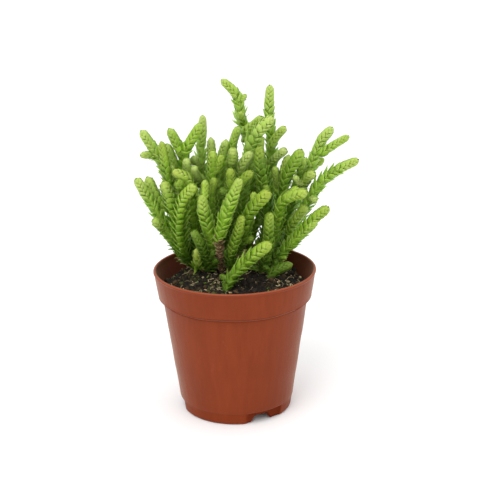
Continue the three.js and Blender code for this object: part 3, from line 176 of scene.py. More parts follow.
    ('shoot_46', 'soil', '', 0, 0.4, 0.6, 5, 0, 0.85, -0.5,
     [(-1.3, -5.1, 130.5, 2.49), (-1.3, -4.5, 128.8, 2.49), (-1.3, -2.9, 123.9, 2.70), (-1.3, -2.2, 121.9, 2.73), (-1.9, 0.2, 115.1, 2.73), (-2.4, 2.5, 108.3, 2.73), (-3.0, 4.8, 101.5, 2.73), (-3.4, 7.1, 94.7, 2.73), (-3.9, 9.3, 87.9, 2.73), (-4.3, 11.4, 81.0, 2.73), (-4.8, 13.3, 74.1, 2.53)]),
    ('shoot_47', 'soil', '', 45, 1, 0.3, 2, 0, 0.85, -1.2,
     [(-20.6, -15.1, 101.0, 2.30), (-20.0, -14.2, 99.5, 2.30), (-17.8, -10.9, 94.1, 2.61), (-16.1, -7.0, 88.9, 2.83), (-15.1, -2.9, 83.7, 2.75), (-14.9, 1.5, 78.6, 2.65), (-15.9, 5.9, 73.7, 2.67)]),
    ('shoot_48', 'soil', '', 0, 1.2, 0.9, 0, 0, 0.85, 0.4,
     [(-19.4, -2.9, 87.7, 2.20), (-19.4, -2.5, 86.2, 2.20), (-19.3, -1.6, 82.6, 2.24), (-19.0, -0.4, 79.1, 2.14), (-19.5, 2.4, 76.8, 2.12), (-19.9, 5.6, 75.0, 2.13), (-20.2, 8.9, 73.3, 2.15)]),
    ('shoot_49', 'soil', '', 66, 0.45, 0.4, 2.5, 0, 0.85, 0,
     [(-34.0, 31.2, 102.7, 2.91), (-33.0, 31.1, 101.0, 2.91), (-29.6, 30.9, 95.1, 2.91), (-26.1, 30.6, 89.1, 2.91), (-22.6, 30.2, 83.2, 2.95), (-20.0, 30.8, 76.9, 2.78), (-17.7, 31.4, 70.4, 2.15)]),
    ('shoot_50', 'soil', '', 13, 0.45, 0.4, 2.5, 0, 0.85, 0,
     [(-22.3, 43.7, 109.8, 2.91), (-21.9, 43.1, 108.0, 2.91), (-20.4, 41.1, 101.9, 2.91), (-18.9, 39.1, 95.7, 2.91), (-17.5, 37.0, 89.6, 2.95), (-16.3, 34.8, 83.4, 2.92), (-15.4, 33.7, 77.0, 2.71), (-14.0, 33.7, 70.5, 2.15)]),
    ('shoot_51', 'soil', '', 50, 0.45, 0.4, 2.5, 0, 0.85, 0,
     [(-8.2, 47.6, 115.9, 2.91), (-8.0, 47.1, 114.0, 2.91), (-7.4, 45.0, 106.8, 2.91), (-6.9, 42.9, 99.7, 2.91), (-6.3, 40.6, 92.6, 2.95), (-5.6, 38.1, 85.5, 2.92), (-5.2, 36.4, 78.3, 2.69), (-5.0, 35.4, 70.9, 2.15)]),
    ('shoot_52', 'soil', '', 87, 0.45, 0.4, 2.5, 0, 0.85, 0,
     [(5.1, 49.9, 109.8, 2.91), (5.0, 49.1, 108.0, 2.91), (4.5, 46.5, 101.9, 2.91), (3.9, 43.9, 95.8, 2.91), (3.4, 41.2, 89.7, 2.95), (2.9, 38.4, 83.7, 2.92), (2.4, 36.8, 77.3, 2.71), (2.0, 36.5, 70.7, 2.15)]),
    ('shoot_53', 'soil', '', 34, 0.45, 0.4, 2.5, 0, 0.85, 0,
     [(24.5, 44.6, 113.8, 2.91), (24.0, 44.1, 112.0, 2.91), (22.1, 42.3, 105.1, 2.91), (20.3, 40.4, 98.2, 2.84), (19.5, 39.1, 93.9, 2.67), (19.2, 38.3, 91.4, 2.48), (19.1, 37.7, 89.7, 2.34), (18.0, 35.9, 84.8, 2.10), (16.6, 35.0, 81.3, 2.18), (15.0, 34.3, 77.8, 2.32), (13.1, 34.2, 72.4, 2.21), (12.7, 34.2, 70.6, 2.11)]),
    ('shoot_54', 'soil', '', 71, 0.45, 0.4, 2.5, 0, 0.85, 0,
     [(29.7, 40.6, 105.7, 2.91), (29.0, 40.1, 104.0, 2.91), (26.2, 38.1, 97.4, 2.91), (23.4, 36.0, 90.9, 2.91), (20.5, 33.6, 84.5, 2.96), (18.0, 32.0, 77.8, 2.80), (16.0, 31.9, 70.6, 2.15)]),
    ('shoot_55', 'soil', '', 18, 0.45, 0.4, 2.5, 0, 0.85, 0,
     [(32.9, 29.6, 93.7, 2.91), (32.0, 29.2, 92.0, 2.91), (30.2, 28.4, 88.6, 2.91), (28.5, 27.6, 85.2, 2.91), (26.8, 26.8, 81.7, 2.93), (25.4, 26.3, 78.1, 2.93), (24.1, 26.0, 74.4, 2.73), (22.7, 25.8, 70.8, 2.15)]),
    ('shoot_56', 'soil', '', 55, 0.45, 0.4, 2.5, 0, 0.85, 0,
     [(-3.1, 34.0, 127.9, 2.78), (-3.0, 34.0, 126.0, 2.78), (-2.6, 33.9, 119.3, 2.78), (-2.1, 33.8, 112.6, 2.78), (-1.7, 33.7, 105.8, 2.78), (-1.3, 33.5, 99.1, 2.78), (-1.0, 33.2, 92.4, 2.78), (-0.9, 32.7, 85.7, 2.81), (-0.8, 32.1, 79.0, 2.75), (-0.8, 31.4, 72.3, 2.15)]),
    ('shoot_57', 'soil', '', 2, 0.45, 0.4, 2.5, 0, 0.85, 0,
     [(-14.3, 36.1, 121.8, 2.78), (-14.0, 36.0, 120.0, 2.78), (-13.0, 35.7, 113.1, 2.78), (-11.9, 35.4, 106.2, 2.78), (-10.8, 34.9, 99.3, 2.80), (-9.6, 34.2, 92.5, 2.82), (-8.4, 33.3, 85.7, 2.73), (-7.2, 32.3, 78.9, 2.54), (-6.4, 31.5, 72.0, 2.15)]),
    ('shoot_58', 'soil', '', 39, 0.45, 0.4, 2.5, 0, 0.85, 0,
     [(11.4, 33.0, 125.7, 2.72), (11.3, 33.1, 123.9, 2.72), (10.8, 33.4, 117.3, 2.73), (10.4, 33.7, 110.7, 2.74), (10.0, 34.0, 104.1, 2.73), (9.7, 34.1, 100.0, 2.66), (9.5, 34.2, 97.5, 2.60), (9.2, 34.2, 95.6, 2.55), (8.5, 34.3, 90.9, 2.38), (7.9, 34.3, 86.2, 2.28), (7.8, 34.3, 84.3, 2.28), (7.9, 34.3, 81.8, 2.31), (8.1, 34.2, 77.7, 2.35), (8.0, 34.0, 71.1, 2.13)]),
    ('shoot_01', 'bud', 'shoot_01', 40, 1.2, 0.2, 0, 0, 0.6, -0.1,
     [(-47.2, 6.7, 135.5, 2.08), (-46.1, 7.5, 135.3, 2.08), (-42.3, 10.2, 134.5, 2.09), (-40.5, 11.3, 133.9, 2.09), (-38.4, 12.6, 133.1, 2.10)]),
    ('shoot_16', 'bud', 'shoot_16', 67, 0.45, 0.5, 0, 0, 0.6, -0.2,
     [(-14.2, -11.5, 126.3, 2.02), (-14.2, -11.8, 125.1, 2.02), (-14.3, -12.5, 121.8, 2.02), (-14.6, -13.2, 118.6, 2.02), (-15.6, -14.0, 115.5, 2.02)]),
    ('shoot_18', 'bud', 'shoot_18', 45, 1.2, 0.5, 0, 0, 0.3, -0.1,
     [(4.3, 21.3, 154.5, 1.98), (4.5, 22.2, 153.1, 1.98), (5.2, 24.8, 149.3, 1.99), (5.5, 27.7, 145.6, 2.00)]),
    ('shoot_18', 'bud', 'shoot_18', 83, 0.45, 0.5, 0, 0, 0.3, 1.4,
     [(8.8, 24.1, 147.9, 1.86), (8.6, 24.5, 146.9, 1.86), (7.7, 26.1, 143.0, 1.87), (6.2, 27.4, 139.2, 1.87)]),
    ('shoot_11', 'bud', 'shoot_11', 46, 0.45, 0.5, 0, 0, 0.6, -0.3,
     [(-5.4, 3.0, 135.7, 2.40), (-5.9, 3.3, 134.3, 2.40), (-7.6, 4.2, 129.8, 2.59), (-10.5, 5.0, 125.9, 2.60)]),
    ('shoot_30', 'bud', 'shoot_30', 30, 1.2, 0.2, 0, 0, 0.6, -0.7,
     [(47.6, 19.8, 128.9, 2.55), (46.3, 19.1, 128.3, 2.55), (43.0, 17.3, 126.8, 2.55), (39.6, 15.8, 125.2, 2.54)]),
    ('shoot_36', 'bud', 'shoot_36', 62, 0.45, 0.5, 0, 0, 0.6, -0.3,
     [(32.3, -6.4, 120.7, 2.69), (31.6, -6.0, 119.3, 2.69), (30.2, -5.3, 116.7, 2.70), (27.8, -4.4, 115.1, 2.70)]),
    ('shoot_34', 'bud', 'shoot_34', 25, 0.45, 0.5, 0, 0, 0.6, 0.1,
     [(21.6, 5.6, 128.5, 2.08), (21.7, 6.2, 127.2, 2.08), (21.9, 7.8, 123.8, 2.09), (22.4, 9.3, 120.5, 2.10), (23.4, 10.9, 117.3, 2.11)]),
    ('shoot_46', 'bud', 'shoot_46', 78, 0.45, 0.5, 0, 0, 0.5, -1.2,
     [(-6.7, -6.5, 119.6, 2.31), (-5.9, -5.6, 119.1, 2.31), (-3.7, -3.1, 117.6, 2.32), (-1.8, -0.5, 116.2, 2.33)]),
    ('shoot_40', 'bud', 'shoot_40', 30, 1.2, 0.2, 0, 0, 0.55, -0.3,
     [(9.7, -5.2, 94.4, 2.08), (8.8, -4.6, 93.7, 2.08), (6.5, -3.0, 92.0, 2.09), (3.8, -1.5, 90.8, 2.09)]),
    ('shoot_27', 'bud', 'shoot_27', 4, 0.45, 0.5, 0, 0, 0.6, -0.9,
     [(16.5, -4.5, 121.4, 2.18), (16.5, -3.6, 120.1, 2.18), (16.6, -0.9, 116.2, 2.20), (16.2, 2.8, 113.3, 2.22)]),
    ('shoot_38', 'bud', 'shoot_38', 10, 1.2, 0.1, 0, 0, 0.1, -0.1,
     [(26.9, -2.6, 82.0, 1.31), (26.2, -1.8, 81.8, 1.31), (22.9, 1.7, 80.8, 1.32)]),
    ('shoot_18', 'bud', 'shoot_18', 20, 1.2, 0.3, 0, 0, 0.6, -0.1,
     [(7.6, 27.0, 162.4, 1.75), (6.9, 27.0, 161.7, 1.75), (4.1, 27.0, 158.9, 1.75)]),
    ('shoot_40', 'bud', 'shoot_40', 73, 0.45, 0.5, 0, 0, 0.6, -0.3,
     [(10.1, -15.0, 120.6, 2.14), (10.2, -14.8, 118.9, 2.14), (10.3, -14.4, 115.7, 2.15), (10.1, -14.0, 112.5, 2.15)]),
    ('shoot_35', 'bud', 'shoot_35', 36, 0.45, 0.5, 0, 0, 0.6, 0.5,
     [(31.5, 1.1, 124.1, 1.97), (31.9, 2.3, 123.2, 1.97), (32.8, 5.3, 121.0, 1.98), (34.7, 8.2, 119.4, 1.99), (37.3, 10.9, 118.4, 2.00)]),
    ('shoot_32', 'bud', 'shoot_32', 45, 1.2, 0.3, 0, 0, 0.6, 0.4,
     [(42.6, 2.3, 111.1, 2.14), (42.0, 3.7, 111.1, 2.14), (40.0, 8.6, 111.0, 2.16)]),
    ('shoot_38', 'bud', 'shoot_38', 45, 1.2, 0.2, 0, 0, 0.35, -0.1,
     [(42.0, -9.1, 103.3, 2.21), (40.8, -8.4, 102.0, 2.21), (38.1, -6.9, 99.1, 2.22), (35.5, -5.5, 96.1, 2.23), (32.9, -4.1, 93.1, 2.24), (30.3, -2.7, 90.1, 2.25), (27.7, -0.6, 87.5, 2.26)]),
    ('shoot_42', 'bud', 'shoot_42', 20, 1.2, 0.1, 0, 0, 0.3, -0.5,
     [(-7.4, -7.9, 74.0, 1.72), (-6.8, -9.0, 74.2, 1.72), (-4.8, -12.8, 75.0, 1.71), (-3.0, -16.7, 74.3, 2.73)]),
    ('shoot_12', 'bud', 'shoot_12', 45, 1.2, 0.4, 0, 0, 0.6, 0.1,
     [(-40.5, -6.4, 105.0, 2.20), (-40.0, -5.2, 103.8, 2.20), (-38.8, -2.1, 100.7, 2.21), (-37.5, 1.1, 98.0, 2.23), (-35.7, 5.0, 96.7, 2.24)]),
    ('shoot_09', 'bud', 'shoot_09', 31, 0.45, 0.5, 0, 0, 0.45, -0.9,
     [(-28.1, -8.2, 125.1, 3.06), (-27.4, -6.9, 123.6, 3.06), (-26.1, -4.5, 120.9, 3.08), (-24.6, -1.9, 118.7, 3.09), (-22.7, 1.1, 117.4, 3.11)]),
    ('shoot_04', 'bud', 'shoot_04', 84, 0.45, 0.5, 0, 0, 0.4, 1.4,
     [(-20.4, 12.1, 132.9, 2.23), (-20.1, 13.2, 131.7, 2.23), (-19.4, 15.8, 128.9, 2.24), (-18.4, 18.6, 126.5, 2.26), (-16.5, 21.8, 125.4, 2.27)]),
    ('shoot_09', 'bud', 'shoot_09', 47, 0.45, 0.5, 0, 0, 0.4, 0.3,
     [(-32.6, 5.8, 130.5, 2.54), (-32.1, 5.8, 128.6, 2.54), (-31.1, 5.8, 125.0, 2.74), (-30.1, 5.8, 121.4, 2.82), (-28.8, 5.7, 117.9, 2.87), (-26.9, 5.5, 114.8, 2.88), (-24.5, 5.2, 112.0, 2.88), (-22.1, 4.9, 109.2, 2.88)]),
    ('shoot_30', 'bud', 'shoot_30', 20, 1.2, 0.2, 0, 0, 0.2, -0.1,
     [(36.8, 9.6, 132.1, 2.62), (36.4, 10.2, 130.4, 2.62), (34.9, 12.2, 124.6, 2.63), (33.4, 14.1, 118.8, 2.65), (31.9, 16.1, 113.0, 2.66), (32.2, 18.9, 107.6, 2.68)]),
    ('shoot_58', 'bud', 'shoot_58', 63, 0.45, 0.5, 0, 0, 0.2, -0.1,
     [(13.5, 30.0, 116.9, 2.48), (13.6, 30.2, 115.1, 2.48), (14.0, 30.9, 107.9, 2.62), (14.6, 31.6, 100.7, 2.77), (14.0, 32.4, 93.5, 2.90), (11.0, 33.3, 87.0, 2.91), (9.1, 34.2, 80.0, 2.93)]),
    ('shoot_38', 'bud', 'shoot_38', 50, 1.2, 0, 0, 0, 0.1, -0.6,
     [(21.1, 5.2, 84.2, 2.58), (20.6, 4.9, 82.3, 2.58), (19.7, 4.4, 78.7, 2.93), (19.5, 3.6, 75.0, 2.93)]),
    ('shoot_57', 'bud', 'shoot_57', 79, 0.45, 0.5, 0, 0, 0.2, -0.1,
     [(-4.6, 28.8, 119.1, 2.44), (-4.8, 29.1, 117.3, 2.44), (-5.5, 30.2, 110.7, 2.45), (-6.0, 31.4, 104.1, 2.47), (-6.1, 32.8, 97.4, 2.48), (-9.5, 33.8, 91.8, 2.49)]),
    ('shoot_56', 'bud', 'shoot_56', 42, 0.45, 0.5, 0, 0, 0.2, -0.1,
     [(1.2, 31.0, 126.8, 2.32), (1.2, 31.1, 125.0, 2.32), (1.3, 31.5, 117.9, 2.41), (1.4, 31.9, 110.7, 2.50), (1.3, 32.3, 103.5, 2.58), (1.3, 32.4, 101.1, 2.61), (1.1, 32.7, 96.3, 2.62), (-0.6, 33.1, 89.4, 2.63)]),
    ('shoot_49', 'bud', 'shoot_49', 5, 0.45, 0.5, 0, 0, 0.2, -0.1,
     [(-25.9, 30.0, 101.9, 2.33), (-25.6, 30.0, 100.2, 2.33), (-25.0, 30.1, 96.6, 2.33), (-24.3, 30.3, 93.1, 2.34), (-23.9, 30.3, 89.5, 2.34), (-24.0, 30.1, 85.8, 2.73)]),
    ('shoot_27', 'bud', 'shoot_27', 58, 0.45, 0.5, 0, 0, 0.1, -0.1,
     [(13.0, 14.0, 87.6, 2.42), (13.0, 14.0, 85.9, 2.42), (13.0, 14.0, 82.6, 2.43), (14.4, 13.8, 79.6, 2.43)]),
    ('shoot_41', 'bud', 'shoot_41', 87, 1.2, 0, 0, 0, 0, -1.1,
     [(13.8, -2.0, 84.0, 1.87), (15.4, 0.0, 79.5, 1.98), (16.4, 2.0, 75.0, 2.10)]),
    ('shoot_38', 'bud', 'shoot_38', 58, 1.2, 0, 0, 0, 0, -1.1,
     [(23.2, -1.0, 85.7, 1.87), (21.1, 1.0, 81.8, 1.98), (19.6, 3.0, 77.4, 2.10)]),
    ('shoot_36', 'bud', 'shoot_36', 29, 1.2, 0, 0, 0, 0, -1.1,
     [(11.3, 5.0, 78.5, 1.78), (13.4, 7.0, 74.5, 1.88), (15.6, 9.0, 71.0, 1.99)]),
    ('shoot_39', 'bud', 'shoot_39', 0, 1.2, 0, 2, 0, 0, -1.1,
     [(15.3, -3.0, 77.8, 1.75), (17.4, -1.5, 75.3, 1.86), (19.5, 0.0, 72.9, 1.96)]),
    ('shoot_39', 'bud', 'shoot_39', 61, 1.2, 0, 0, 0, 0, -1.1,
     [(21.6, -1.0, 80.3, 1.76), (21.3, 0.0, 77.0, 1.86), (20.3, 1.0, 73.6, 1.96)]),
    ('shoot_41', 'bud', 'shoot_41', 32, 1.2, 0, 2, 0, 0, -1.1,
     [(9.3, 0.0, 76.3, 1.53), (11.7, 1.5, 74.7, 1.62), (13.8, 3.0, 73.0, 1.71)]),
    ('shoot_41', 'bud', 'shoot_41', 3, 1.2, 0, 0, 0, 0, -1.1,
     [(18.4, -3.0, 83.2, 1.63), (17.2, -0.5, 79.1, 1.73), (15.9, 2.0, 75.0, 1.84)]),
    ('shoot_42', 'bud', 'shoot_42', 64, 1, 0, 2, 0, 0.1, -1.1,
     [(0.6, -14.0, 74.7, 1.38), (-1.5, -12.5, 71.5, 1.46), (-3.3, -11.0, 68.8, 1.54)]),
    ('shoot_47', 'bud', 'shoot_47', 35, 1.2, 0, 0, 0, 0, -1.1,
     [(-10.5, -6.0, 87.9, 2.08), (-12.1, -3.0, 83.7, 2.21), (-14.4, 0.0, 79.5, 2.35)]),
    ('shoot_47', 'bud', 'shoot_47', 6, 1.2, 0, 0, 0, 0, -1.1,
     [(-9.1, -4.0, 82.4, 1.86), (-11.3, -0.5, 78.8, 1.98), (-14.0, 3.0, 75.2, 2.10)]),
    ('shoot_15', 'bud', 'shoot_15', 67, 1.2, 0, 0, 0, 0, -1.1,
     [(-28.6, 6.0, 84.1, 1.65), (-26.7, 9.0, 80.1, 1.76), (-24.8, 12.0, 75.8, 1.86)]),
    ('shoot_40', 'bud', 'shoot_40', 38, 1, 0, 0, 12, 0, -1.1,
     [(4.0, 3.0, 87.5, 1.88), (2.4, 3.5, 85.2, 1.99), (1.3, 4.0, 81.2, 2.10)]),
    ('shoot_44', 'bud', 'shoot_44', 9, 1.2, 0, 0, 0, 0, -1.1,
     [(-4.8, -6.0, 87.8, 1.62), (-3.9, -3.0, 83.0, 1.72), (-2.9, 0.0, 78.2, 1.83)]),
    ('shoot_16', 'bud', 'shoot_16', 70, 1.2, 0, 0, 0, 0, -1.1,
     [(-14.7, -1.0, 87.5, 1.87), (-13.3, 2.0, 82.7, 1.98), (-11.9, 5.0, 77.8, 2.10)]),
]

# ---- small helpers -------------------------------------------------------
def unit(v):
    return v / max(1e-9, np.linalg.norm(v))


def ease(x):
    x = np.clip(x, 0.0, 1.0)
    return x * x * (3 - 2 * x)


def soil_z(x, y):
    q = (x * x + (y - SOIL_MOUND_Y) ** 2) / SOIL_MOUND_R ** 2
    return SOIL_EDGE_Z + SOIL_RISE * np.maximum(0.0, 1 - q ** 1.7)


def lumps(x, y, z, scale, seed=0.0, octaves=3):
    return noise.fractal(Vector((x * scale + seed, y * scale - seed, z * scale)), 0.9, 2.1, octaves)


class Heap:
    """Gathers many small closed forms into one mesh object."""

    def __init__(self):
        self.v, self.faces, self.a, self.b, self.uv, self.slot = [], {}, [], [], {}, {}
        self.n = 0

    def add(self, verts, faces, a=None, b=None, uvs=None, slot=0):
        """verts (n,3) mm; faces {corners: (m,k) array}; a, b (n,4); uvs {corners: (m,k,2)}"""
        self.v.append(verts)
        self.a.append(np.zeros((len(verts), 4)) if a is None else a)
        self.b.append(np.zeros((len(verts), 4)) if b is None else b)
        for k, f in faces.items():
            self.faces.setdefault(k, []).append(f + self.n)
            u = np.zeros((len(f), k, 2)) if uvs is None else uvs[k]
            self.uv.setdefault(k, []).append(u)
            self.slot.setdefault(k, []).append(np.full(len(f), slot))
        self.n += len(verts)

    def build(self, name, mats, smooth=True, with_uv=True):
        v = np.vstack(self.v) / 1000 + AXIS
        corners, starts, totals, uv, slot = [], [], [], [], []
        at = 0
        for k in sorted(self.faces):
            f = np.vstack(self.faces[k])
            corners.append(f.ravel())
            starts.append(at + np.arange(len(f)) * k)
            totals.append(np.full(len(f), k))
            uv.append(np.vstack(self.uv[k]).reshape(-1, 2))
            slot.append(np.concatenate(self.slot[k]))
            at += f.size
        me = bpy.data.meshes.new(name)
        me.vertices.add(len(v))
        me.vertices.foreach_set("co", v.ravel())
        corners = np.concatenate(corners)
        me.loops.add(len(corners))
        me.loops.foreach_set("vertex_index", corners.astype(np.int32))
        starts = np.concatenate(starts)
        me.polygons.add(len(starts))
        me.polygons.foreach_set("loop_start", starts.astype(np.int32))
        me.polygons.foreach_set("loop_total", np.concatenate(totals).astype(np.int32))
        me.update(calc_edges=True)
        me.polygons.foreach_set("material_index", np.concatenate(slot).astype(np.int32))
        me.polygons.foreach_set("use_smooth", np.full(len(starts), smooth))
        for label, data in (("traits_a", self.a), ("traits_b", self.b)):
            at_ = me.attributes.new(label, "FLOAT_COLOR", "POINT")
            at_.data.foreach_set("color", np.vstack(data).astype(np.float32).ravel())
        if with_uv:
            layer = me.uv_layers.new(name="OFBake")
            layer.data.foreach_set("uv", np.vstack(uv).astype(np.float32).ravel())
        me.validate()
        me.update()
        ob = bpy.data.objects.new(name, me)
        bpy.context.scene.collection.objects.link(ob)
        for m in mats:
            me.materials.append(m)
        return ob


# ---- camera, placed before anything else ---------------------------------
CAM_DIST, CAM_EL, CAM_TX, CAM_TZ, CAM_ROLL = 600.0, 0.387, 3.006, 91.20, -0.015
CAM_POS = np.array([0.0, -CAM_DIST * math.cos(CAM_EL), CAM_DIST * math.sin(CAM_EL) + 35])
cam_fw = unit(np.array([CAM_TX, 0.0, CAM_TZ]) - CAM_POS)
r0 = unit(np.cross(cam_fw, (0, 0, 1)))
u0 = np.cross(r0, cam_fw)
cr, sr = math.cos(CAM_ROLL), math.sin(CAM_ROLL)
cam_x, cam_y = cr * r0 + sr * u0, -sr * r0 + cr * u0
cam_data = bpy.data.cameras.new("camera")
cam_data.lens = 84.07
cam_data.sensor_width = 36.0
cam_data.clip_start, cam_data.clip_end = 0.05, 20.0
camera = bpy.data.objects.new("camera", cam_data)
bpy.context.scene.collection.objects.link(camera)
place = np.eye(4)
place[:3, 0], place[:3, 1], place[:3, 2] = cam_x, cam_y, -cam_fw
place[:3, 3] = CAM_POS / 1000 + AXIS
camera.matrix_world = Matrix([list(map(float, row)) for row in place])
bpy.context.scene.camera = camera


# ---- materials -----------------------------------------------------------
class Nodes:
    """A short way to write a node tree."""

    def __init__(self, name):
        self.mat = bpy.data.materials.new(name)
        self.mat.use_nodes = True
        self.t = self.mat.node_tree
        self.t.nodes.clear()
        self.out = self.t.nodes.new("ShaderNodeOutputMaterial")
        self.bsdf = self.t.nodes.new("ShaderNodeBsdfPrincipled")
        self.t.links.new(self.bsdf.outputs[0], self.out.inputs[0])

    def put(self, socket, value):
        if hasattr(value, "is_output") or isinstance(value, bpy.types.NodeSocket):
            self.t.links.new(value, socket)
        elif value is not None:
            if isinstance(value, (tuple, list)) and len(value) == 3 and socket.type == "RGBA":
                value = (*value, 1.0)
            socket.default_value = value

    def set(self, name, value):
        self.put(self.bsdf.inputs[name], value)

    def math(self, op, a, b=None, c=None, clamp=False):
        n = self.t.nodes.new("ShaderNodeMath")
        n.operation, n.use_clamp = op, clamp
        for i, v in enumerate((a, b, c)):
            if v is not None:
                self.put(n.inputs[i], v)
        return n.outputs[0]

    def mix(self, f, a, b, how="MIX"):
        n = self.t.nodes.new("ShaderNodeMix")
        n.data_type, n.blend_type = "RGBA", how
        n.clamp_factor = True
        self.put(n.inputs[0], f)
        self.put(n.inputs[6], a)
        self.put(n.inputs[7], b)
        return n.outputs[2]

    def range(self, v, a, b, c=0.0, d=1.0, smooth=False):
        n = self.t.nodes.new("ShaderNodeMapRange")
        n.clamp = True
        if smooth:
            n.interpolation_type = "SMOOTHSTEP"
        for i, x in enumerate((v, a, b, c, d)):
            self.put(n.inputs[i], x)
        return n.outputs[0]

    def coords(self, scale=(1, 1, 1)):
        c = self.t.nodes.new("ShaderNodeTexCoord")
        m = self.t.nodes.new("ShaderNodeMapping")
        m.inputs["Scale"].default_value = scale
        self.t.links.new(c.outputs["Object"], m.inputs[0])
        return m.outputs[0]

    def noise(self, vec, scale, detail=3.0, rough=0.55, distort=0.0, colour=False):
        n = self.t.nodes.new("ShaderNodeTexNoise")
        self.put(n.inputs["Vector"], vec)
        n.inputs["Scale"].default_value = scale
        n.inputs["Detail"].default_value = detail
        n.inputs["Roughness"].default_value = rough
        n.inputs["Distortion"].default_value = distort
        return n.outputs[1 if colour else 0]

    def cells(self, vec, scale, feature="F1"):
        n = self.t.nodes.new("ShaderNodeTexVoronoi")
        n.feature = feature
        self.put(n.inputs["Vector"], vec)
        n.inputs["Scale"].default_value = scale
        return n

    def traits(self, label):
        n = self.t.nodes.new("ShaderNodeAttribute")
        n.attribute_name = label
        s = self.t.nodes.new("ShaderNodeSeparateColor")
        self.t.links.new(n.outputs["Color"], s.inputs[0])
        return (*s.outputs, n.outputs["Alpha"])

    def bump(self, height, strength, distance):
        n = self.t.nodes.new("ShaderNodeBump")
        n.inputs["Strength"].default_value = strength
        n.inputs["Distance"].default_value = distance
        self.put(n.inputs["Height"], height)
        return n.outputs[0]


def srgb(r, g, b):
    def f(c):
        c /= 255.0
        return c / 12.92 if c <= 0.04045 else ((c + 0.055) / 1.055) ** 2.4
    return (f(r), f(g), f(b))


def leaf_material():
    """Scale leaves: fresh green, yellower at the growing tips, a pale margin
    and point, painted shade darkening the base where the next leaf covers it,
    painted light and shade from the shade trait (paler high up and out at the
    sides, deeper green low down and in the middle of the tuft); withered ones
    are papery brown."""
    m = Nodes("scale_leaf")
    edge, along, young, chance = m.traits("traits_a")
    warm, old, dry, pale = m.traits("traits_b")
    co = m.coords()
    broad = m.noise(co, 85.0, 2.0)
    fine = m.noise(co, 1500.0, 3.0, 0.6)
    mid = m.mix(m.range(chance, 0.0, 1.0), LEAF_MID_A, LEAF_MID_B)
    mid = m.mix(m.range(broad, 0.35, 0.68), mid, LEAF_MID_C)
    col = m.mix(m.range(old, 0.15, 1.0), mid, LEAF_OLD)
    tip = m.mix(warm, LEAF_TIP, LEAF_TIP_WARM)
    col = m.mix(m.math("MULTIPLY", young, 0.92), col, tip)
    # the pale trait carries painted light and shade with the shoot's own tone: paler where painted as lit, deeper green
    # where painted as shaded
    col = m.mix(m.range(pale, 0.5, 1.0, 0.0, 0.9), col, LEAF_PALE_LIT)
    col = m.mix(m.math("MULTIPLY", m.range(pale, 0.5, 0.0), m.range(young, 0.0, 1.0, 1.0, 0.6)), col, LEAF_DEEP_SHADED)
    # painted shade: the leaf's base, where the next leaf covers it, is darkened towards LEAF_BASE, less on young leaves
    base = m.math("MULTIPLY", m.range(along, 0.60, 0.12, 0.0, 0.38, smooth=True), m.range(young, 0.1, 0.7, 1.0, 0.12))
    col = m.mix(base, col, LEAF_BASE)
    rim = m.math("MAXIMUM", m.range(edge, 0.55, 1.0, smooth=True), m.range(along, 0.70, 1.0, smooth=True))
    rim = m.math("MULTIPLY", rim, m.range(old, 0.0, 1.0, 0.66, 0.45))
    rim = m.math("MULTIPLY", rim, m.range(young, 0.2, 0.9, 1.0, 0.55))
    # margins are fainter where the leaves are painted as shaded
    rim = m.math("MULTIPLY", rim, m.range(pale, 0.0, 0.55, 0.5, 1.0))
    col = m.mix(rim, col, LEAF_RIM)
    col = m.mix(m.range(fine, 0.55, 0.8, 0.0, 0.16), col, LEAF_RIM)
    col = m.mix(m.range(fine, 0.42, 0.2, 0.0, 0.25), col, LEAF_BASE)
    brown = m.mix(m.range(fine, 0.3, 0.7), DRY_A, DRY_B)
    brown = m.mix(m.range(chance, 0.25, 0.65), brown, DRY_C)
    col = m.mix(m.range(dry, 0.1, 0.75, smooth=True), col, brown)
    m.set("Base Color", col)
    m.set("Roughness", m.range(fine, 0.3, 0.7, 0.42, 0.58))
    m.set("Specular IOR Level", 0.25)
    m.set("Subsurface Weight", 0.22)
    m.set("Subsurface Radius", (0.45, 1.0, 0.18))
    m.set("Subsurface Scale", 0.0011)
    m.set("Normal", m.bump(fine, 0.35, 0.00012))
    return m.mat


def bark_material():
    m = Nodes("woody_stem")
    edge, along, young, chance = m.traits("traits_a")
    co = m.coords()
    fine = m.noise(co, 1100.0, 4.0, 0.65)
    ring = m.noise(m.coords((0.35, 0.35, 1.6)), 900.0, 2.0, 0.5)
    col = m.mix(m.range(fine, 0.32, 0.68), BARK_DARK, BARK_LIGHT)
    col = m.mix(m.range(ring, 0.50, 0.66, 0.0, 0.8), col, BARK_PINK)
    m.set("Base Color", col)
    m.set("Roughness", 0.8)
    m.set("Specular IOR Level", 0.25)
    m.set("Normal", m.bump(m.math("ADD", fine, ring), 0.7, 0.00025))
    return m.mat


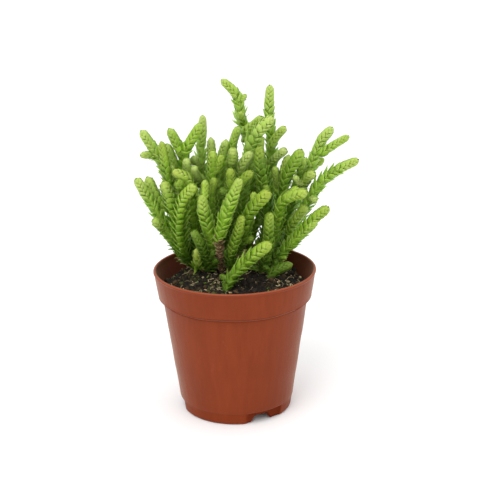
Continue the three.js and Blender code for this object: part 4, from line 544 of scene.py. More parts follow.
def pot_material():
    """Thin moulded plastic, satin, with faint upright streaks, scuffs, a
    little dust, and a darker moist inside, with a painted highlight along the
    lip and painted shade under the band's step and in the foot."""
    m = Nodes("terracotta_plastic")
    edge, along, young, chance = m.traits("traits_a")
    co = m.coords()
    streak = m.noise(m.coords((1.0, 1.0, 0.06)), 260.0, 4.0, 0.6)
    cloud = m.noise(co, 26.0, 4.0, 0.55)
    fine = m.noise(co, 1600.0, 3.0, 0.6)
    scuff = m.noise(m.coords((1.0, 1.0, 0.5)), 150.0, 6.0, 0.72, 0.6)
    col = m.mix(m.range(streak, 0.34, 0.66), POT_A, POT_B)
    col = m.mix(m.range(cloud, 0.40, 0.66, 0.0, 0.55), col, POT_C)
    marks = m.range(scuff, 0.66, 0.74, 0.0, 0.45)
    col = m.mix(marks, col, POT_SCUFF)
    # painted highlight, paler along the lip and the band's edge
    col = m.mix(m.range(edge, 0.2, 1.0, 0.0, 0.5), col, POT_HIGHLIGHT)
    col = m.mix(m.range(young, 0.0, 1.0), col, POT_INSIDE)
    # painted shade under the band's step and in the foot's set-in faces and groove, a little over the rest of the foot
    # and the floor
    col = m.mix(m.range(chance, 0.2, 1.0, 0.0, 0.7), col, POT_SHADE)
    m.set("Base Color", col)
    rough = m.range(m.math("ADD", streak, scuff), 0.7, 1.35, 0.34, 0.52)
    m.set("Roughness", rough)
    m.set("Specular IOR Level", m.range(chance, 0.1, 0.4, 0.08, 0.0))
    m.set("Sheen Weight", m.range(chance, 0.1, 0.5, 0.22, 0.0))
    m.set("Sheen Roughness", 0.35)
    m.set("Sheen Tint", (1.0, 0.82, 0.58, 1.0))
    h = m.math("ADD", m.math("MULTIPLY", streak, 0.7), m.math("MULTIPLY", fine, 0.25))
    m.set("Normal", m.bump(m.math("ADD", h, m.math("MULTIPLY", cloud, 1.6)), 0.35, 0.0006))
    return m.mat


def soil_material(name="peat"):
    m = Nodes(name)
    tone, light, wet, chance = m.traits("traits_a")
    co = m.coords()
    fine = m.noise(co, 1400.0, 5.0, 0.7)
    mid = m.noise(co, 330.0, 3.0, 0.6)
    col = m.mix(m.range(fine, 0.35, 0.65), SOIL_A, SOIL_B)
    col = m.mix(m.range(mid, 0.52, 0.72, 0.0, 0.6), col, SOIL_C)
    col = m.mix(m.range(tone, 0.0, 1.0), col, SOIL_BROWN)
    col = m.mix(m.range(light, 0.0, 1.0), col, SOIL_TAN)
    col = m.mix(m.range(wet, 0.0, 1.0), col, SOIL_MOSS)
    m.set("Base Color", col)
    m.set("Roughness", m.range(mid, 0.3, 0.7, 0.62, 0.95))
    m.set("Specular IOR Level", 0.3)
    m.set("Normal", m.bump(fine, 0.8, 0.0005))
    return m.mat


def fibre_material():
    m = Nodes("peat_fibre")
    tone, light, wet, chance = m.traits("traits_a")
    fine = m.noise(m.coords(), 900.0, 3.0, 0.6)
    col = m.mix(m.range(fine, 0.3, 0.7), SOIL_BROWN, SOIL_C)
    col = m.mix(tone, col, SOIL_TAN)
    m.set("Base Color", col)
    m.set("Roughness", 0.8)
    m.set("Specular IOR Level", 0.3)
    m.set("Normal", m.bump(fine, 0.5, 0.0002))
    return m.mat


def floor_material():
    m = Nodes("pale_floor")
    co = m.coords()
    n = m.noise(co, 3.0, 3.0, 0.5)
    m.set("Base Color", m.mix(m.range(n, 0.3, 0.7), (0.90, 0.90, 0.90), (0.92, 0.92, 0.918)))
    m.set("Roughness", 0.85)
    m.set("Specular IOR Level", 0.2)
    m.set("Normal", m.bump(m.noise(co, 400.0, 2.0), 0.05, 0.0004))
    return m.mat


# Colours, linear
LEAF_MID_A = srgb(127, 168, 36)
LEAF_MID_B = srgb(149, 188, 50)
LEAF_MID_C = srgb(137, 178, 42)
LEAF_OLD = srgb(91, 136, 29)
LEAF_BASE = srgb(88, 128, 26)
LEAF_TIP = srgb(152, 188, 74)
LEAF_TIP_WARM = srgb(172, 184, 62)
LEAF_RIM = srgb(180, 208, 104)
# colours for painted light and painted shade, also used for a shoot's own paler or deeper tone
LEAF_PALE_LIT = srgb(188, 211, 116)
LEAF_DEEP_SHADED = srgb(74, 108, 20)
DRY_A = srgb(84, 64, 46)
DRY_B = srgb(146, 114, 80)
DRY_C = srgb(210, 180, 138)
BARK_DARK = srgb(52, 38, 28)
BARK_LIGHT = srgb(130, 102, 76)
BARK_PINK = srgb(184, 154, 114)
POT_A = srgb(120, 51, 25)
POT_B = srgb(128, 56, 28)
POT_C = srgb(114, 48, 24)
POT_SCUFF = srgb(150, 76, 52)
POT_HIGHLIGHT = srgb(158, 86, 62)
POT_INSIDE = srgb(116, 62, 47)
POT_SHADE = srgb(90, 35, 22)
SOIL_A = srgb(14, 11, 8)
SOIL_B = srgb(26, 20, 15)
SOIL_C = srgb(40, 31, 22)
SOIL_BROWN = srgb(82, 64, 40)
SOIL_TAN = srgb(206, 188, 146)
SOIL_MOSS = srgb(74, 80, 34)

MAT_LEAF = leaf_material()
MAT_BARK = bark_material()
MAT_POT = pot_material()
MAT_SOIL = soil_material()
MAT_FIBRE = fibre_material()
MAT_FLOOR = floor_material()


# ---- one scale leaf ------------------------------------------------------
# A closed, thick, keeled triangular leaf as a grid: rows run from its base to
# its point, each row is a ring of seven, five on the outer face (margin to
# margin) and two on the inner face.
OUT_A = (-1.0, -0.62, 0.0, 0.62, 1.0)
IN_A = (0.42, -0.42)
ROWS_T = (0.0, 0.22, 0.45, 0.66, 0.82, 0.93)
RING = len(OUT_A) + len(IN_A)
ring_a = np.array(OUT_A + IN_A)
ring_out = np.array([1.0] * len(OUT_A) + [0.0] * len(IN_A))
LEAF_T = np.concatenate([np.repeat(ROWS_T, RING), [1.0]])
LEAF_A = np.concatenate([np.tile(ring_a, len(ROWS_T)), [0.0]])
LEAF_O = np.concatenate([np.tile(ring_out, len(ROWS_T)), [0.5]])
TIP_V = RING * len(ROWS_T)
LEAF_GAP = 0.98      # mm between leaf pairs, plus a part of the shoot's radius


def _leaf_faces():
    quads, quv, tris, tuv = [], [], [], []

    def place(j, corner, t, end=False):
        """u, v of ring position j seen from the face strip that starts at corner"""
        if corner < len(OUT_A) - 1:
            return (0.02 + 0.50 * (ring_a[j] + 1) / 2, 0.06 + 0.92 * t)
        k = {len(OUT_A) - 1: 0.0, len(OUT_A): 0.33, len(OUT_A) + 1: 0.67, 0: 1.0}[j]
        return (0.57 + 0.40 * k, 0.06 + 0.92 * t)

    for i in range(len(ROWS_T) - 1):
        for j in range(RING):
            k = (j + 1) % RING
            quads.append((i * RING + j, i * RING + k, (i + 1) * RING + k, (i + 1) * RING + j))
            ta, tb = ROWS_T[i], ROWS_T[i + 1]
            quv.append((place(j, j, ta), place(k, j, ta), place(k, j, tb), place(j, j, tb)))
    i = len(ROWS_T) - 1
    for j in range(RING):
        k = (j + 1) % RING
        tris.append((i * RING + j, i * RING + k, TIP_V))
        a, b = place(j, j, ROWS_T[i]), place(k, j, ROWS_T[i])
        tuv.append((a, b, ((a[0] + b[0]) / 2, 0.98)))
    cap = [list(range(RING))[::-1]]
    cuv = [[(0.5 + 0.45 * math.cos(2 * math.pi * q / RING), 0.025 + 0.02 * math.sin(2 * math.pi * q / RING)) for q in range(RING)]]
    return ({4: np.array(quads), 3: np.array(tris), RING: np.array(cap)},
            {4: np.array(quv), 3: np.array(tuv), RING: np.array(cuv)})


LEAF_F, LEAF_UV = _leaf_faces()
WIDTH_T = np.array([0.0, 0.10, 0.25, 0.42, 0.58, 0.72, 0.83, 0.91, 0.97, 1.0])
WIDTH_W = np.array([0.84, 0.96, 1.00, 0.92, 0.76, 0.54, 0.35, 0.20, 0.09, 0.0])


def exposure(pos):
    """Painted light: leaves high up and out at the sides, where more light falls, are painted paler."""
    z, r = pos[..., 2], np.hypot(pos[..., 0], pos[..., 1] - 5.0)
    return np.clip(np.clip((z - 104.0) / 52.0, 0, 1) * 0.75 + np.clip((r - 20.0) / 26.0, 0, 1) * 0.6, 0, 1)


def shade(pos, tone):
    """Painted light and shade with the shoot's own tone: from 0, a deep green, over 0.5, the plain one, to 1, a pale
    one; painted shade low down and in the middle of the tuft, painted light high up and out at the sides.
    """
    x, y, z = pos[..., 0], pos[..., 1], pos[..., 2]
    # painted shade: darker low in the middle of the tuft (inner) and near the soil (low)
    inner = np.clip((110.0 - z) / 30.0, 0, 1) * np.clip((23.0 - np.hypot(x, y - 12.0)) / 14.0, 0, 1)
    low = np.clip((90.0 - z) / 18.0, 0, 1)
    return 0.5 + 0.5 * np.clip(0.62 * exposure(pos) - 0.82 * inner - 0.40 * low + tone, -1, 1)


def put_leaves(heap, polar, rings, tiles, traits):
    """polar: function (s, rho, phi) -> positions for arrays (K, n).
    rings: dict of (K,) arrays. A leaf's middle line is a quadratic curve from
    its base (sb, rb) by (sm, rm) to its point (st, rt), in length along the
    shoot and distance from its axis; (nb, ob), (nm, om), (nt, ot) are the
    outward directions there. phi is the rank's angle, half the half width,
    keel how far the margins fall back, thick the thickness.
    tiles: (u, v, size) for each leaf. traits: dict of (K,) arrays."""
    K = len(rings["sb"])
    if not K:
        return
    c = {k: v[:, None] for k, v in rings.items()}
    t, a, o = LEAF_T[None, :], LEAF_A[None, :], LEAF_O[None, :]
    b0, b1, b2 = (1 - t) ** 2, 2 * t * (1 - t), t * t
    s = b0 * c["sb"] + b1 * c["sm"] + b2 * c["st"]
    rho = b0 * c["rb"] + b1 * c["rm"] + b2 * c["rt"]
    ns = b0 * c["nb"] + b1 * c["nm"] + b2 * c["nt"]
    nr = b0 * c["ob"] + b1 * c["om"] + b2 * c["ot"]
    w = np.interp(LEAF_T, WIDTH_T, WIDTH_W)[None, :]
    th = c["thick"] * (1 - 0.55 * t) * (0.35 + 0.65 * np.minimum(1, w * 1.6))
    absa = np.abs(a)
    half = np.minimum(c["half"] * w / np.maximum(rho, 0.3), 1.30)
    phi = c["phi"] + a * half + c["skew"] * (t - 0.4)
    drop = c["keel"] * absa ** 1.7 * np.minimum(1, w * 1.3)
    body = np.sqrt(np.maximum(0.0, 1 - absa ** 2))
    outer = -drop - np.where(absa > 0.95, 0.25 * th, 0.0)
    inner = -drop - th * body
    off = np.where(o > 0.75, outer, np.where(o < 0.25, inner, -0.5 * th))
    pos = polar(s + ns * off, np.maximum(0.0, rho + nr * off), phi)
    n = len(LEAF_T)
    A = np.zeros((K, n, 4))
    B = np.zeros((K, n, 4))
    A[..., 0] = absa
    A[..., 1] = t
    A[..., 2] = traits["young"][:, None]
    A[..., 3] = traits["chance"][:, None]
    B[..., 0] = traits["warm"][:, None]
    B[..., 1] = traits["old"][:, None]
    B[..., 2] = traits["dry"][:, None]
    B[..., 3] = shade(pos, traits["tone"][:, None])
    base = (np.arange(K) * n)[:, None, None]
    faces, uvs = {}, {}
    for k, f in LEAF_F.items():
        faces[k] = (f[None] + base).reshape(-1, k)
        u = LEAF_UV[k][None] * tiles[:, None, None, 2:3] + tiles[:, None, None, 0:2]
        uvs[k] = u.reshape(-1, k, 2)
    heap.add(pos.reshape(-1, 3), faces, A.reshape(-1, 4), B.reshape(-1, 4), uvs, slot=0)


# ---- one shoot -----------------------------------------------------------
STEP = 0.25
LEAF_KEYS = ("sb", "sm", "st", "rb", "rm", "rt", "nb", "nm", "nt", "ob", "om", "ot", "phi", "half", "keel", "thick", "skew")


class Shoot:
    def __init__(self, node, kind, parent, phase, flare, warm, dry, bare, fresh, tone, rows, seed, stem):
        """stem: the centre line of the shoot that this one grows from, or None"""
        self.node, self.kind, self.parent = node, kind, parent
        self.flare, self.warm, self.dry, self.bare, self.fresh, self.tone = flare, warm, dry, bare, fresh, tone
        self.rng = random.Random(seed)
        q = np.array(rows, float)
        xyz, rad = q[:, :3], q[:, 3].copy()
        if kind == "soil" and not bare:
            rad[-1] = max(rad[-1], 0.84 * rad[-2])
        end = unit(xyz[-1] - xyz[-2])
        last = xyz[-1] + end * 2.4
        if kind == "soil":
            last = xyz[-1] + unit(end + np.array([0, 0, -0.6])) * 5.0
        elif stem is not None:
            near = int(np.argmin(np.linalg.norm(stem - xyz[-1], axis=1)))
            last = stem[min(near + 4, len(stem) - 1)]
        pts = np.vstack([xyz, last])
        rr = np.concatenate([rad, [rad[-1]]])
        p = np.vstack([2 * pts[0] - pts[1], pts, 2 * pts[-1] - pts[-2]])
        out, per = [], 20
        for i in range(1, len(p) - 2):
            a, b, c, d = p[i - 1], p[i], p[i + 1], p[i + 2]
            for k in range(per):
                u = k / per
                out.append(0.5 * (2 * b + (c - a) * u + (2 * a - 5 * b + 4 * c - d) * u * u + (3 * b - a - 3 * c + d) * u ** 3))
        out.append(p[-2])
        out = np.array(out)
        s = np.concatenate([[0], np.cumsum(np.linalg.norm(np.diff(out, axis=0), axis=1))])
        self.s_ctrl = s[::per]
        self.r_ctrl = rr
        self.length = s[-1]
        self.s_end = self.s_ctrl[-2]            # where it meets the soil or its parent
        self.bare = min(self.bare, self.s_end - 1.8) if self.bare else 0
        n = int(self.length / STEP) + 2
        self.s = np.linspace(0, self.length, n)
        self.P = np.stack([np.interp(self.s, s, out[:, k]) for k in range(3)], 1)
        T = -np.gradient(self.P, self.s, axis=0)
        T /= np.linalg.norm(T, axis=1)[:, None]
        self.T = T
        m = min(n - 1, int(0.45 * n))
        ref = CAM_POS - self.P[m]
        N = np.zeros_like(self.P)
        N[m] = unit(ref - T[m] * (ref @ T[m]))
        for rng_ in (range(m + 1, n), range(m - 1, -1, -1)):
            prev = m
            for i in rng_:
                v = N[prev] - T[i] * (N[prev] @ T[i])
                N[i] = unit(v)
                prev = i
        turn = np.radians(phase) + np.radians(self.rng.uniform(-0.35, 0.35)) * (self.s - self.s[m])
        B = np.cross(T, N)
        self.N = N * np.cos(turn)[:, None] + B * np.sin(turn)[:, None]
        self.B = np.cross(T, self.N)
        # the outline of the shoot, measured along its surface from the tip
        self.dome = 1.15 * rr[0]
        sd = np.concatenate([self.dome * (1 - np.cos(np.linspace(0, math.pi / 2, 50))), np.arange(self.dome + 0.3, self.length + 0.3, 0.3)])
        ed = self.env(sd)
        self.m_a = np.concatenate([[0], np.cumsum(np.hypot(np.diff(sd), np.diff(ed)))])
        self.m_s, self.m_e = sd, ed
        ds, de = np.gradient(sd, self.m_a), np.gradient(ed, self.m_a)
        de = np.where(sd > self.dome, 0.0, de)
        ln = np.hypot(ds, de)
        self.m_ns, self.m_nr = -de / ln, ds / ln
        self.m_ns[0], self.m_nr[0] = -1.0, 0.0

    def R(self, s):
        return np.interp(s, self.s_ctrl, self.r_ctrl)

    def env(self, s):
        """radius over the leaves, rounded off at the growing point"""
        x = np.clip(s / (1.15 * self.r_ctrl[0]), 0.0, 1.0)
        return self.R(s) * np.sqrt(np.maximum(0.0, 1 - (1 - x) ** 2.3))

    def at(self, a, depth):
        """a point of the outline, at a given depth under it, and the outward
        direction there: length, distance from the axis, and two parts of the
        direction"""
        s, e = float(np.interp(a, self.m_a, self.m_s)), float(np.interp(a, self.m_a, self.m_e))
        ns, nr = float(np.interp(a, self.m_a, self.m_ns)), float(np.interp(a, self.m_a, self.m_nr))
        return s - ns * depth, max(0.0, e - nr * depth), ns, nr

    def polar(self, s, rho, phi):
        sc = np.clip(s, 0, self.length)
        at = sc / self.length * (len(self.s) - 1)
        i = np.minimum(at.astype(int), len(self.s) - 2)
        f = (at - i)[..., None]
        P = self.P[i] * (1 - f) + self.P[i + 1] * f
        N = self.N[i] * (1 - f) + self.N[i + 1] * f
        B = self.B[i] * (1 - f) + self.B[i + 1] * f
        T = self.T[i] * (1 - f) + self.T[i + 1] * f
        P = P - T * (s - sc)[..., None]
        return P + rho[..., None] * (np.cos(phi)[..., None] * N + np.sin(phi)[..., None] * B)

    def plan(self):
        """The leaves as plain numbers, one row each."""
        rng = self.rng
        rows = []
        a, k = 0.0, 0
        a_end = float(np.interp(self.s_end, self.m_s, self.m_a))
        a_bare = a_end - self.bare
        over = 2.4
        lead = 9.0 if self.fresh < 0.15 else 5.0 if self.flare > 1.15 else 0.0      # an opened tip
        while True:
            s_here = float(np.interp(a, self.m_a, self.m_s))
            R = float(self.R(s_here + 1.6))
            grown = float(ease((a + lead - 2.0) / 18.0))
            D = 0.78 + 0.16 * R + (0.28 + 0.12 * R) * grown
            full = 2.85 * D
            size = 2.3 + (full - 2.3) * float(ease((a + lead) / 5.0))
            left = a_end - (a + size)
            wither = 0.0
            if self.dry > 0:
                wither = float(np.clip(1 - (left - self.bare) / self.dry, 0, 1))
            if (a > a_end - 0.4) if self.kind == "soil" else (a + size > a_end + over):
                break
            naked = self.bare > 0 and a > a_bare - 0.4 * full
            g = float(ease((a + lead - 4.0) / 12.0))
            young = self.fresh * math.exp(-max(0.0, a - 1.0) / 8.0)
            # painted shade: leaves near the soil end of a rooted shoot are painted deeper green
            near_soil_shade = 0.9 * max(0.0, 1 - (a_end - a) / 6.0) if self.kind == "soil" else 0.0
            for side in (0, 1):
                phi = math.pi / 2 * (k % 2) + math.pi * side + rng.gauss(0, 0.01 + 0.03 * g + 0.05 * grown + 0.10 * wither)
                if naked:
                    if rng.random() < 0.15:
                        continue
                    phi += rng.uniform(-0.5, 0.5)
                elif rng.random() < 0.40 * wither:
                    continue
                open_ = self.flare * g * (0.25 + 0.75 * grown) * rng.uniform(0.15, 1.9)
                L = size * (1 + rng.gauss(0, 0.05 + 0.05 * grown) * g + 0.25 * open_) * (1 - 0.30 * wither)
                at = max(0.0, a + rng.gauss(0, 0.07) * g)
                shrink = 1 - 0.22 * wither
                lift = R * (0.02 + 0.025 * float(ease(a / 6.0)) + 0.055 * g + 0.60 * open_ + abs(rng.gauss(0, 0.05)) * g + 0.12 * wither * rng.random())
                half = 0.97 * R * shrink * (1 - 0.34 * open_)
                thick = min(0.20 * L, R * (0.06 + 0.09 * grown) * (1 - 0.6 * wither))
                young_ = young
                if naked:
                    L = 1.3 + 1.5 * rng.random()
                    lift = R * rng.uniform(0.05, 0.60)
                    half = R * rng.uniform(0.35, 0.80)
                    thick, young_ = 0.24, 0.0
                e_b = float(np.interp(at + L, self.m_a, self.m_e))
                deep = (0.10 + 0.22 * grown + 0.14 * open_ + 0.2 * wither) * e_b
                if naked:
                    deep = 0.30 * e_b
                s0, r0_, n0_, o0_ = self.at(at + L, deep)
                s1, r1_, n1_, o1_ = self.at(at + 0.46 * L, R * (0.01 + 0.04 * g + 0.13 * grown - 0.16 * open_ - (0.06 if naked else 0.0)) + (1 - shrink) * R)
                s2, r2_, n2_, o2_ = self.at(at, -lift)
                if k == 0:
                    r2_ = 0.22 * self.r_ctrl[0]
                    s2 -= 0.12 * self.r_ctrl[0]
                rows.append(dict(
                    sb=s0, sm=s1, st=s2, rb=r0_, rm=r1_, rt=r2_, nb=n0_, nm=n1_, nt=n2_, ob=o0_, om=o1_, ot=o2_,
                    phi=phi, half=half, keel=R * (0.04 + 0.08 * grown), thick=thick,
                    skew=rng.gauss(0, 0.04 * g + 0.12 * wither),
                    young=young_, chance=rng.random(), warm=self.warm, tone=self.tone + rng.gauss(0, 0.10) - near_soil_shade,
                    old=min(1.0, max(0.0, (a - 18) / 60) + 0.9 * wither + (0.35 if left < 10 and self.kind == "soil" else 0)),
                    dry=rng.uniform(0.75, 1.0) if naked else min(1.0, max(0.0, wither * 1.25 - 0.35 + 0.35 * rng.random()) if wither > 0.25 else 0.0)))
            a += 0.9 if naked else D * (0.70 + 0.30 * float(ease(a / 5.0)))
            k += 1
        return rows

    def core(self, heap, box):
        """The stem under the leaves, green where they clothe it and a woody
        rod where they have gone."""
        s_bare = self.s_end - self.bare if self.bare else self.length
        spans = [(0.30, min(self.length, s_bare + 0.6), 9, 0)]
        if self.bare:
            spans.append((s_bare - 0.6, self.length, 16, 1))
        u0, v0, du, dv = box
        for which, (lo, hi, M, slot) in enumerate(spans):
            if slot:
                ss = np.arange(lo, hi, 0.28)
            else:
                ss = np.concatenate([[0.30, 0.6, 1.1, 1.8, 2.8], np.arange(4.0, hi, 1.3)])
                ss = ss[ss < hi]
            ss = np.append(ss, hi)
            n = len(ss)
            if slot:
                rr = 0.60 * self.R(ss) * (0.75 + 0.25 * ease((ss - lo) / 2.5))
            else:
                rr = self.env(ss) * (0.84 - 0.22 * ease(ss / 6.0))
            ang = np.arange(M) * 2 * math.pi / M
            s = np.repeat(ss, M)
            phi = np.tile(ang, n)
            r = np.repeat(rr, M)
            if slot:
                # ring scars and shallow flutes
                r = r * (1 + 0.10 * np.sin(s * 2 * math.pi / 1.15 + 1.6 * np.sin(phi)) + 0.06 * np.sin(3 * phi + s * 0.8))
                r = r + np.array([0.16 * noise.noise(Vector((a_ * 1.5, math.cos(b_) * 1.9, math.sin(b_) * 1.9))) for a_, b_ in zip(s, phi)])
            pos = self.polar(s[None], r[None], phi[None])[0]
            quads, quv = [], []
            va0, vh = v0 + dv * which / len(spans), dv / len(spans) * 0.9
            for i in range(n - 1):
                for j in range(M):
                    k = (j + 1) % M
                    quads.append((i * M + j, (i + 1) * M + j, (i + 1) * M + k, i * M + k))
                    ua, ub = u0 + du * i / (n - 1), u0 + du * (i + 1) / (n - 1)
                    va, vb = va0 + vh * j / M, va0 + vh * (j + 1) / M
                    quv.append(((ua, va), (ub, va), (ub, vb), (ua, vb)))
            faces = {4: np.array(quads), M: np.array([list(range(M)), list(range((n - 1) * M, n * M))[::-1]])}
            cu = [[(u0 + 0.001 * (q % 3), va0 + 0.0005 * (q // 3)) for q in range(M)]] * 2
            A, B = np.zeros((n * M, 4)), np.zeros((n * M, 4))
            A[:, 1], A[:, 3] = 0.42, 0.5
            A[:, 2] = 0.0 if slot else self.fresh * np.exp(-s / 8.0)
            B[:, 0], B[:, 3] = self.warm, shade(pos, self.tone)
            B[:, 1] = np.clip((s - 14) / 50, 0.1, 1)
            if self.dry:
                B[:, 2] = 0.3 * np.clip((s - (self.s_end - self.bare - self.dry)) / (self.dry + 0.1), 0, 1) ** 1.5
            heap.add(pos, faces, A, B, {4: np.array(quv), M: np.array(cu)}, slot=slot)


def grow(members, name):
    """One piece: a shoot with the buds that belong to it."""
    heap = Heap()
    plans = [m.plan() for m in members]
    total = sum(len(p) for p in plans)
    side = max(1, math.ceil(math.sqrt(total / 0.9)))
    size = 1.0 / side
    at = 0
    for m_i, (m, rows) in enumerate(zip(members, plans)):
        idx = at + np.arange(len(rows))
        tiles = np.stack([(idx % side) * size, 0.1 + (idx // side) * size * 0.9, np.full(len(rows), size * 0.9)], 1)
        at += len(rows)
        rings = {k: np.array([r[k] for r in rows]) for k in LEAF_KEYS}
        traits = {k: np.array([r[k] for r in rows]) for k in ("young", "chance", "warm", "old", "dry", "tone")}
        put_leaves(heap, m.polar, rings, tiles, traits)
        h = 0.09 / len(members)
        m.core(heap, (0.01, 0.004 + m_i * h, 0.98, h * 0.9))
    ob = heap.build(name, [MAT_LEAF, MAT_BARK])
    return ob, total


stems = {}
for node, kind, parent, *rest in SHOOTS:
    if kind != "bud":
        line = np.array(rest[-1])[:, :3]
        cuts = np.linspace(0, len(line) - 1, 12 * (len(line) - 1) + 1)
        stems[node] = np.stack([np.interp(cuts, np.arange(len(line)), line[:, k]) for k in range(3)], 1)
by_node = {}
for i, (node, kind, parent, *rest) in enumerate(SHOOTS):
    by_node.setdefault(node, []).append(Shoot(node, kind, parent, *rest, 1000 + i, stems.get(parent) if kind == "side" else None))
leaf_total = 0
for node, members in by_node.items():
    ob, count = grow(members, node + "_leaves")
    leaf_total += count
    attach(ob, "root")
    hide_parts(node)


# ---- the pot -------------------------------------------------------------
def wall_outer(z):
    return BASE_R + (NECK_R - BASE_R) * (z / (BAND_Z - 1.2))


def foot_shape(theta):
    """For an angle (radians): height of the foot's underside, how far the
    outer face of the foot is set in, and 1 in a groove."""
    best = None
    for n in NOTCHES:
        d = math.degrees(theta) - n
        d = (d + 180) % 360 - 180
        if best is None or abs(d) < abs(best):
            best = d
    d = best
    left = ease((d + 13.2) / 7.2)
    right = ease((13.4 - d) / 8.4)
    lift = float(left * right)
    z = NOTCH_H * min(1.0, lift * 1.12)
    inset = 1.15 * float(ease((d + 19.5) / 5.0) * ease((22.3 - d) / 1.6))
    groove = math.exp(-((d - 22.5) / 0.9) ** 2)
    return z, inset, groove


def pot_mesh():
    # angles, close together where the foot changes
    angles = []
    a = 0.0
    while a < 360 - 1e-6:
        angles.append(a)
        d = min(abs(((a - n) + 180) % 360 - 180) for n in NOTCHES)
        a += 0.5 if d < 31 else 1.5
    angles = np.radians(np.array(angles))
    M = len(angles)
    # profile from the inner floor edge, up the inside, over the lip, down the
    # outside to just above the foot: (radius, z, painted edge highlight, inside)
    zi = FLOOR_Z + FLOOR_T
    prof = []
    r_in0 = BASE_R - WALL + 0.6
    r_in1 = NECK_R - WALL
    z1 = BAND_Z - 1.9
    prof.append((r_in0 - 1.2, zi, 0, 1))
    prof.append((r_in0 - 0.35, zi + 0.25, 0, 1))
    for q in np.linspace(0.02, 1.0, 12):
        prof.append((r_in0 + (r_in1 - r_in0) * q, zi + (z1 - zi) * q, 0, 1))
    prof += [(BAND_R - WALL - 0.45, BAND_Z - 0.75, 0, 1), (BAND_R - WALL, BAND_Z - 0.1, 0, 1)]
    top_in = (RIM_R - LIP_OUT - WALL, POT_H - LIP_H)
    for q in np.linspace(0.08, 1.0, 7):
        prof.append((BAND_R - WALL + (top_in[0] - BAND_R + WALL) * q, BAND_Z + 0.4 + (top_in[1] - BAND_Z - 0.4) * q, 0, 1 - 0.25 * q))
    # the lip: a rolled bead
    cx, cz, rb = RIM_R - 0.82, POT_H - 0.80, 0.82
    # the top of the bead carries the painted highlight
    for deg in (168, 140, 112, 86, 60, 34, 8, -18, -42):
        t = math.radians(deg)
        prof.append((cx + rb * math.cos(t) * (1.0 if deg < 90 else 0.86), cz + 0.80 * math.sin(t), 1.0 if 20 < deg < 120 else 0.25, 0.55 if deg > 130 else 0))
    prof.append((RIM_R - LIP_OUT - 0.02, POT_H - LIP_H - 0.12, 0.2, 0))
    b_top, b_low = (RIM_R - LIP_OUT - 0.04, POT_H - LIP_H - 0.35), (BAND_R + 0.02, BAND_Z + 0.85)
    for q in np.linspace(0, 1, 9):
        bow = 0.10 * math.sin(math.pi * q)
        prof.append((b_top[0] + (b_low[0] - b_top[0]) * q + bow, b_top[1] + (b_low[1] - b_top[1]) * q, 0, 0))
    prof += [(BAND_R + 0.02, BAND_Z + 0.45, 0.1, 0), (BAND_R - 0.10, BAND_Z + 0.12, 0.1, 0), (BAND_R - 0.38, BAND_Z - 0.10, 0.0, 0),
             (NECK_R + 0.75, BAND_Z - 0.42, 0, 0), (NECK_R + 0.18, BAND_Z - 0.85, 0, 0), (NECK_R - 0.02, BAND_Z - 1.5, 0, 0)]
    for z in np.linspace(BAND_Z - 2.6, 7.0, 22):
        prof.append((wall_outer(z) + 0.06 * math.sin(z * 0.31), z, 0, 0))
    prof.append((wall_outer(6.5), 6.55, 0.0, 0))
    verts, painted_highlight, inside, foot = [], [], [], []
    for r, z, e, ins in prof:
        for a in angles:
            wob = 0.10 * math.sin(3 * a + 0.6) + 0.07 * math.sin(5 * a + z * 0.05) if z > 40 else 0.04 * math.sin(3 * a)
            dz = 0.0
            if BAND_Z - 1.6 < z < BAND_Z + 1.0:
                dz = 0.16 * math.sin(7 * a + 1.0) + 0.09 * math.sin(13 * a)
            rr = r + (wob if ins == 0 else wob * 0.8)
            verts.append((rr * math.cos(a), rr * math.sin(a), z + dz))
            painted_highlight.append(e)
            inside.append(ins)
            # painted shade: the wall just under the band's step is darkened through the foot trait
            under = ins == 0 and BAND_Z - 2.0 < z < BAND_Z + 0.3
            foot.append((0.85 if z > BAND_Z - 1.0 else 0.4) if under else 0.0)
    rows = len(prof)
    # the foot: outer face, rounded lower edge, underside, inner face
    foot_rows = []
    for k in range(16):
        ring = []
        for a in angles:
            zb, inset, groove = foot_shape(a)
            top = 6.25
            span = top - zb
            rnd = min(1.9, span * 0.8)
            ro = wall_outer(0) - 0.30
            rin = BASE_R - FOOT_T
            if k <= 6:                      # outer face
                q = k / 6.0
                z = top - (span - rnd) * q
                fade = float(ease((6.3 - z) / 1.2))
                r = wall_outer(z) - 0.28 - (inset + 0.9 * groove) * fade
                if k == 0:
                    r, z = wall_outer(6.3) - 0.05 - 0.25 * inset, 6.36
            elif k <= 11:                   # rounded edge
                t = (k - 6) / 5.0 * math.pi / 2
                fade = float(ease((6.3 - (zb + rnd)) / 1.2))
                r_top = wall_outer(zb + rnd) - 0.28 - (inset + 0.9 * groove) * fade
                z = zb + rnd - rnd * math.sin(t)
                r = r_top - 1.35 * (1 - math.cos(t))
            elif k == 12:
                z, r = zb, (ro + rin) / 2 - 0.5
            elif k == 13:
                z, r = zb + 0.05, rin + 0.25
            elif k == 14:
                z, r = zb + 0.35 if zb < 4 else 4.75, rin - 0.02
            else:
                z, r = FLOOR_Z, rin - 0.25
            ring.append((r * math.cos(a), r * math.sin(a), z))
            painted_highlight.append(0.0)
            inside.append(0.0 if k < 13 else 0.5)
            # painted shade: the foot's set-in faces and groove are darkened, the rest of the foot a little
            foot.append(min(1.0, 0.25 + inset * 0.5 + groove) if 1 <= k < 12 else 0.3)
        foot_rows += ring
    verts = verts + foot_rows
    rows += 16
    quads, uvs = [], []
    total_len = rows - 1
    for i in range(rows - 1):
        for j in range(M):
            k = (j + 1) % M
            quads.append((i * M + j, i * M + k, (i + 1) * M + k, (i + 1) * M + j))
            ua, ub = 0.005 + 0.99 * j / M, 0.005 + 0.99 * (j + 1) / M
            va, vb = 0.30 + 0.69 * i / total_len, 0.30 + 0.69 * (i + 1) / total_len
            uvs.append(((ua, va), (ub, va), (ub, vb), (ua, vb)))
    verts = np.array(verts)
    quads = np.array(quads)[:, ::-1]
    uvs = np.array(uvs)[:, ::-1]
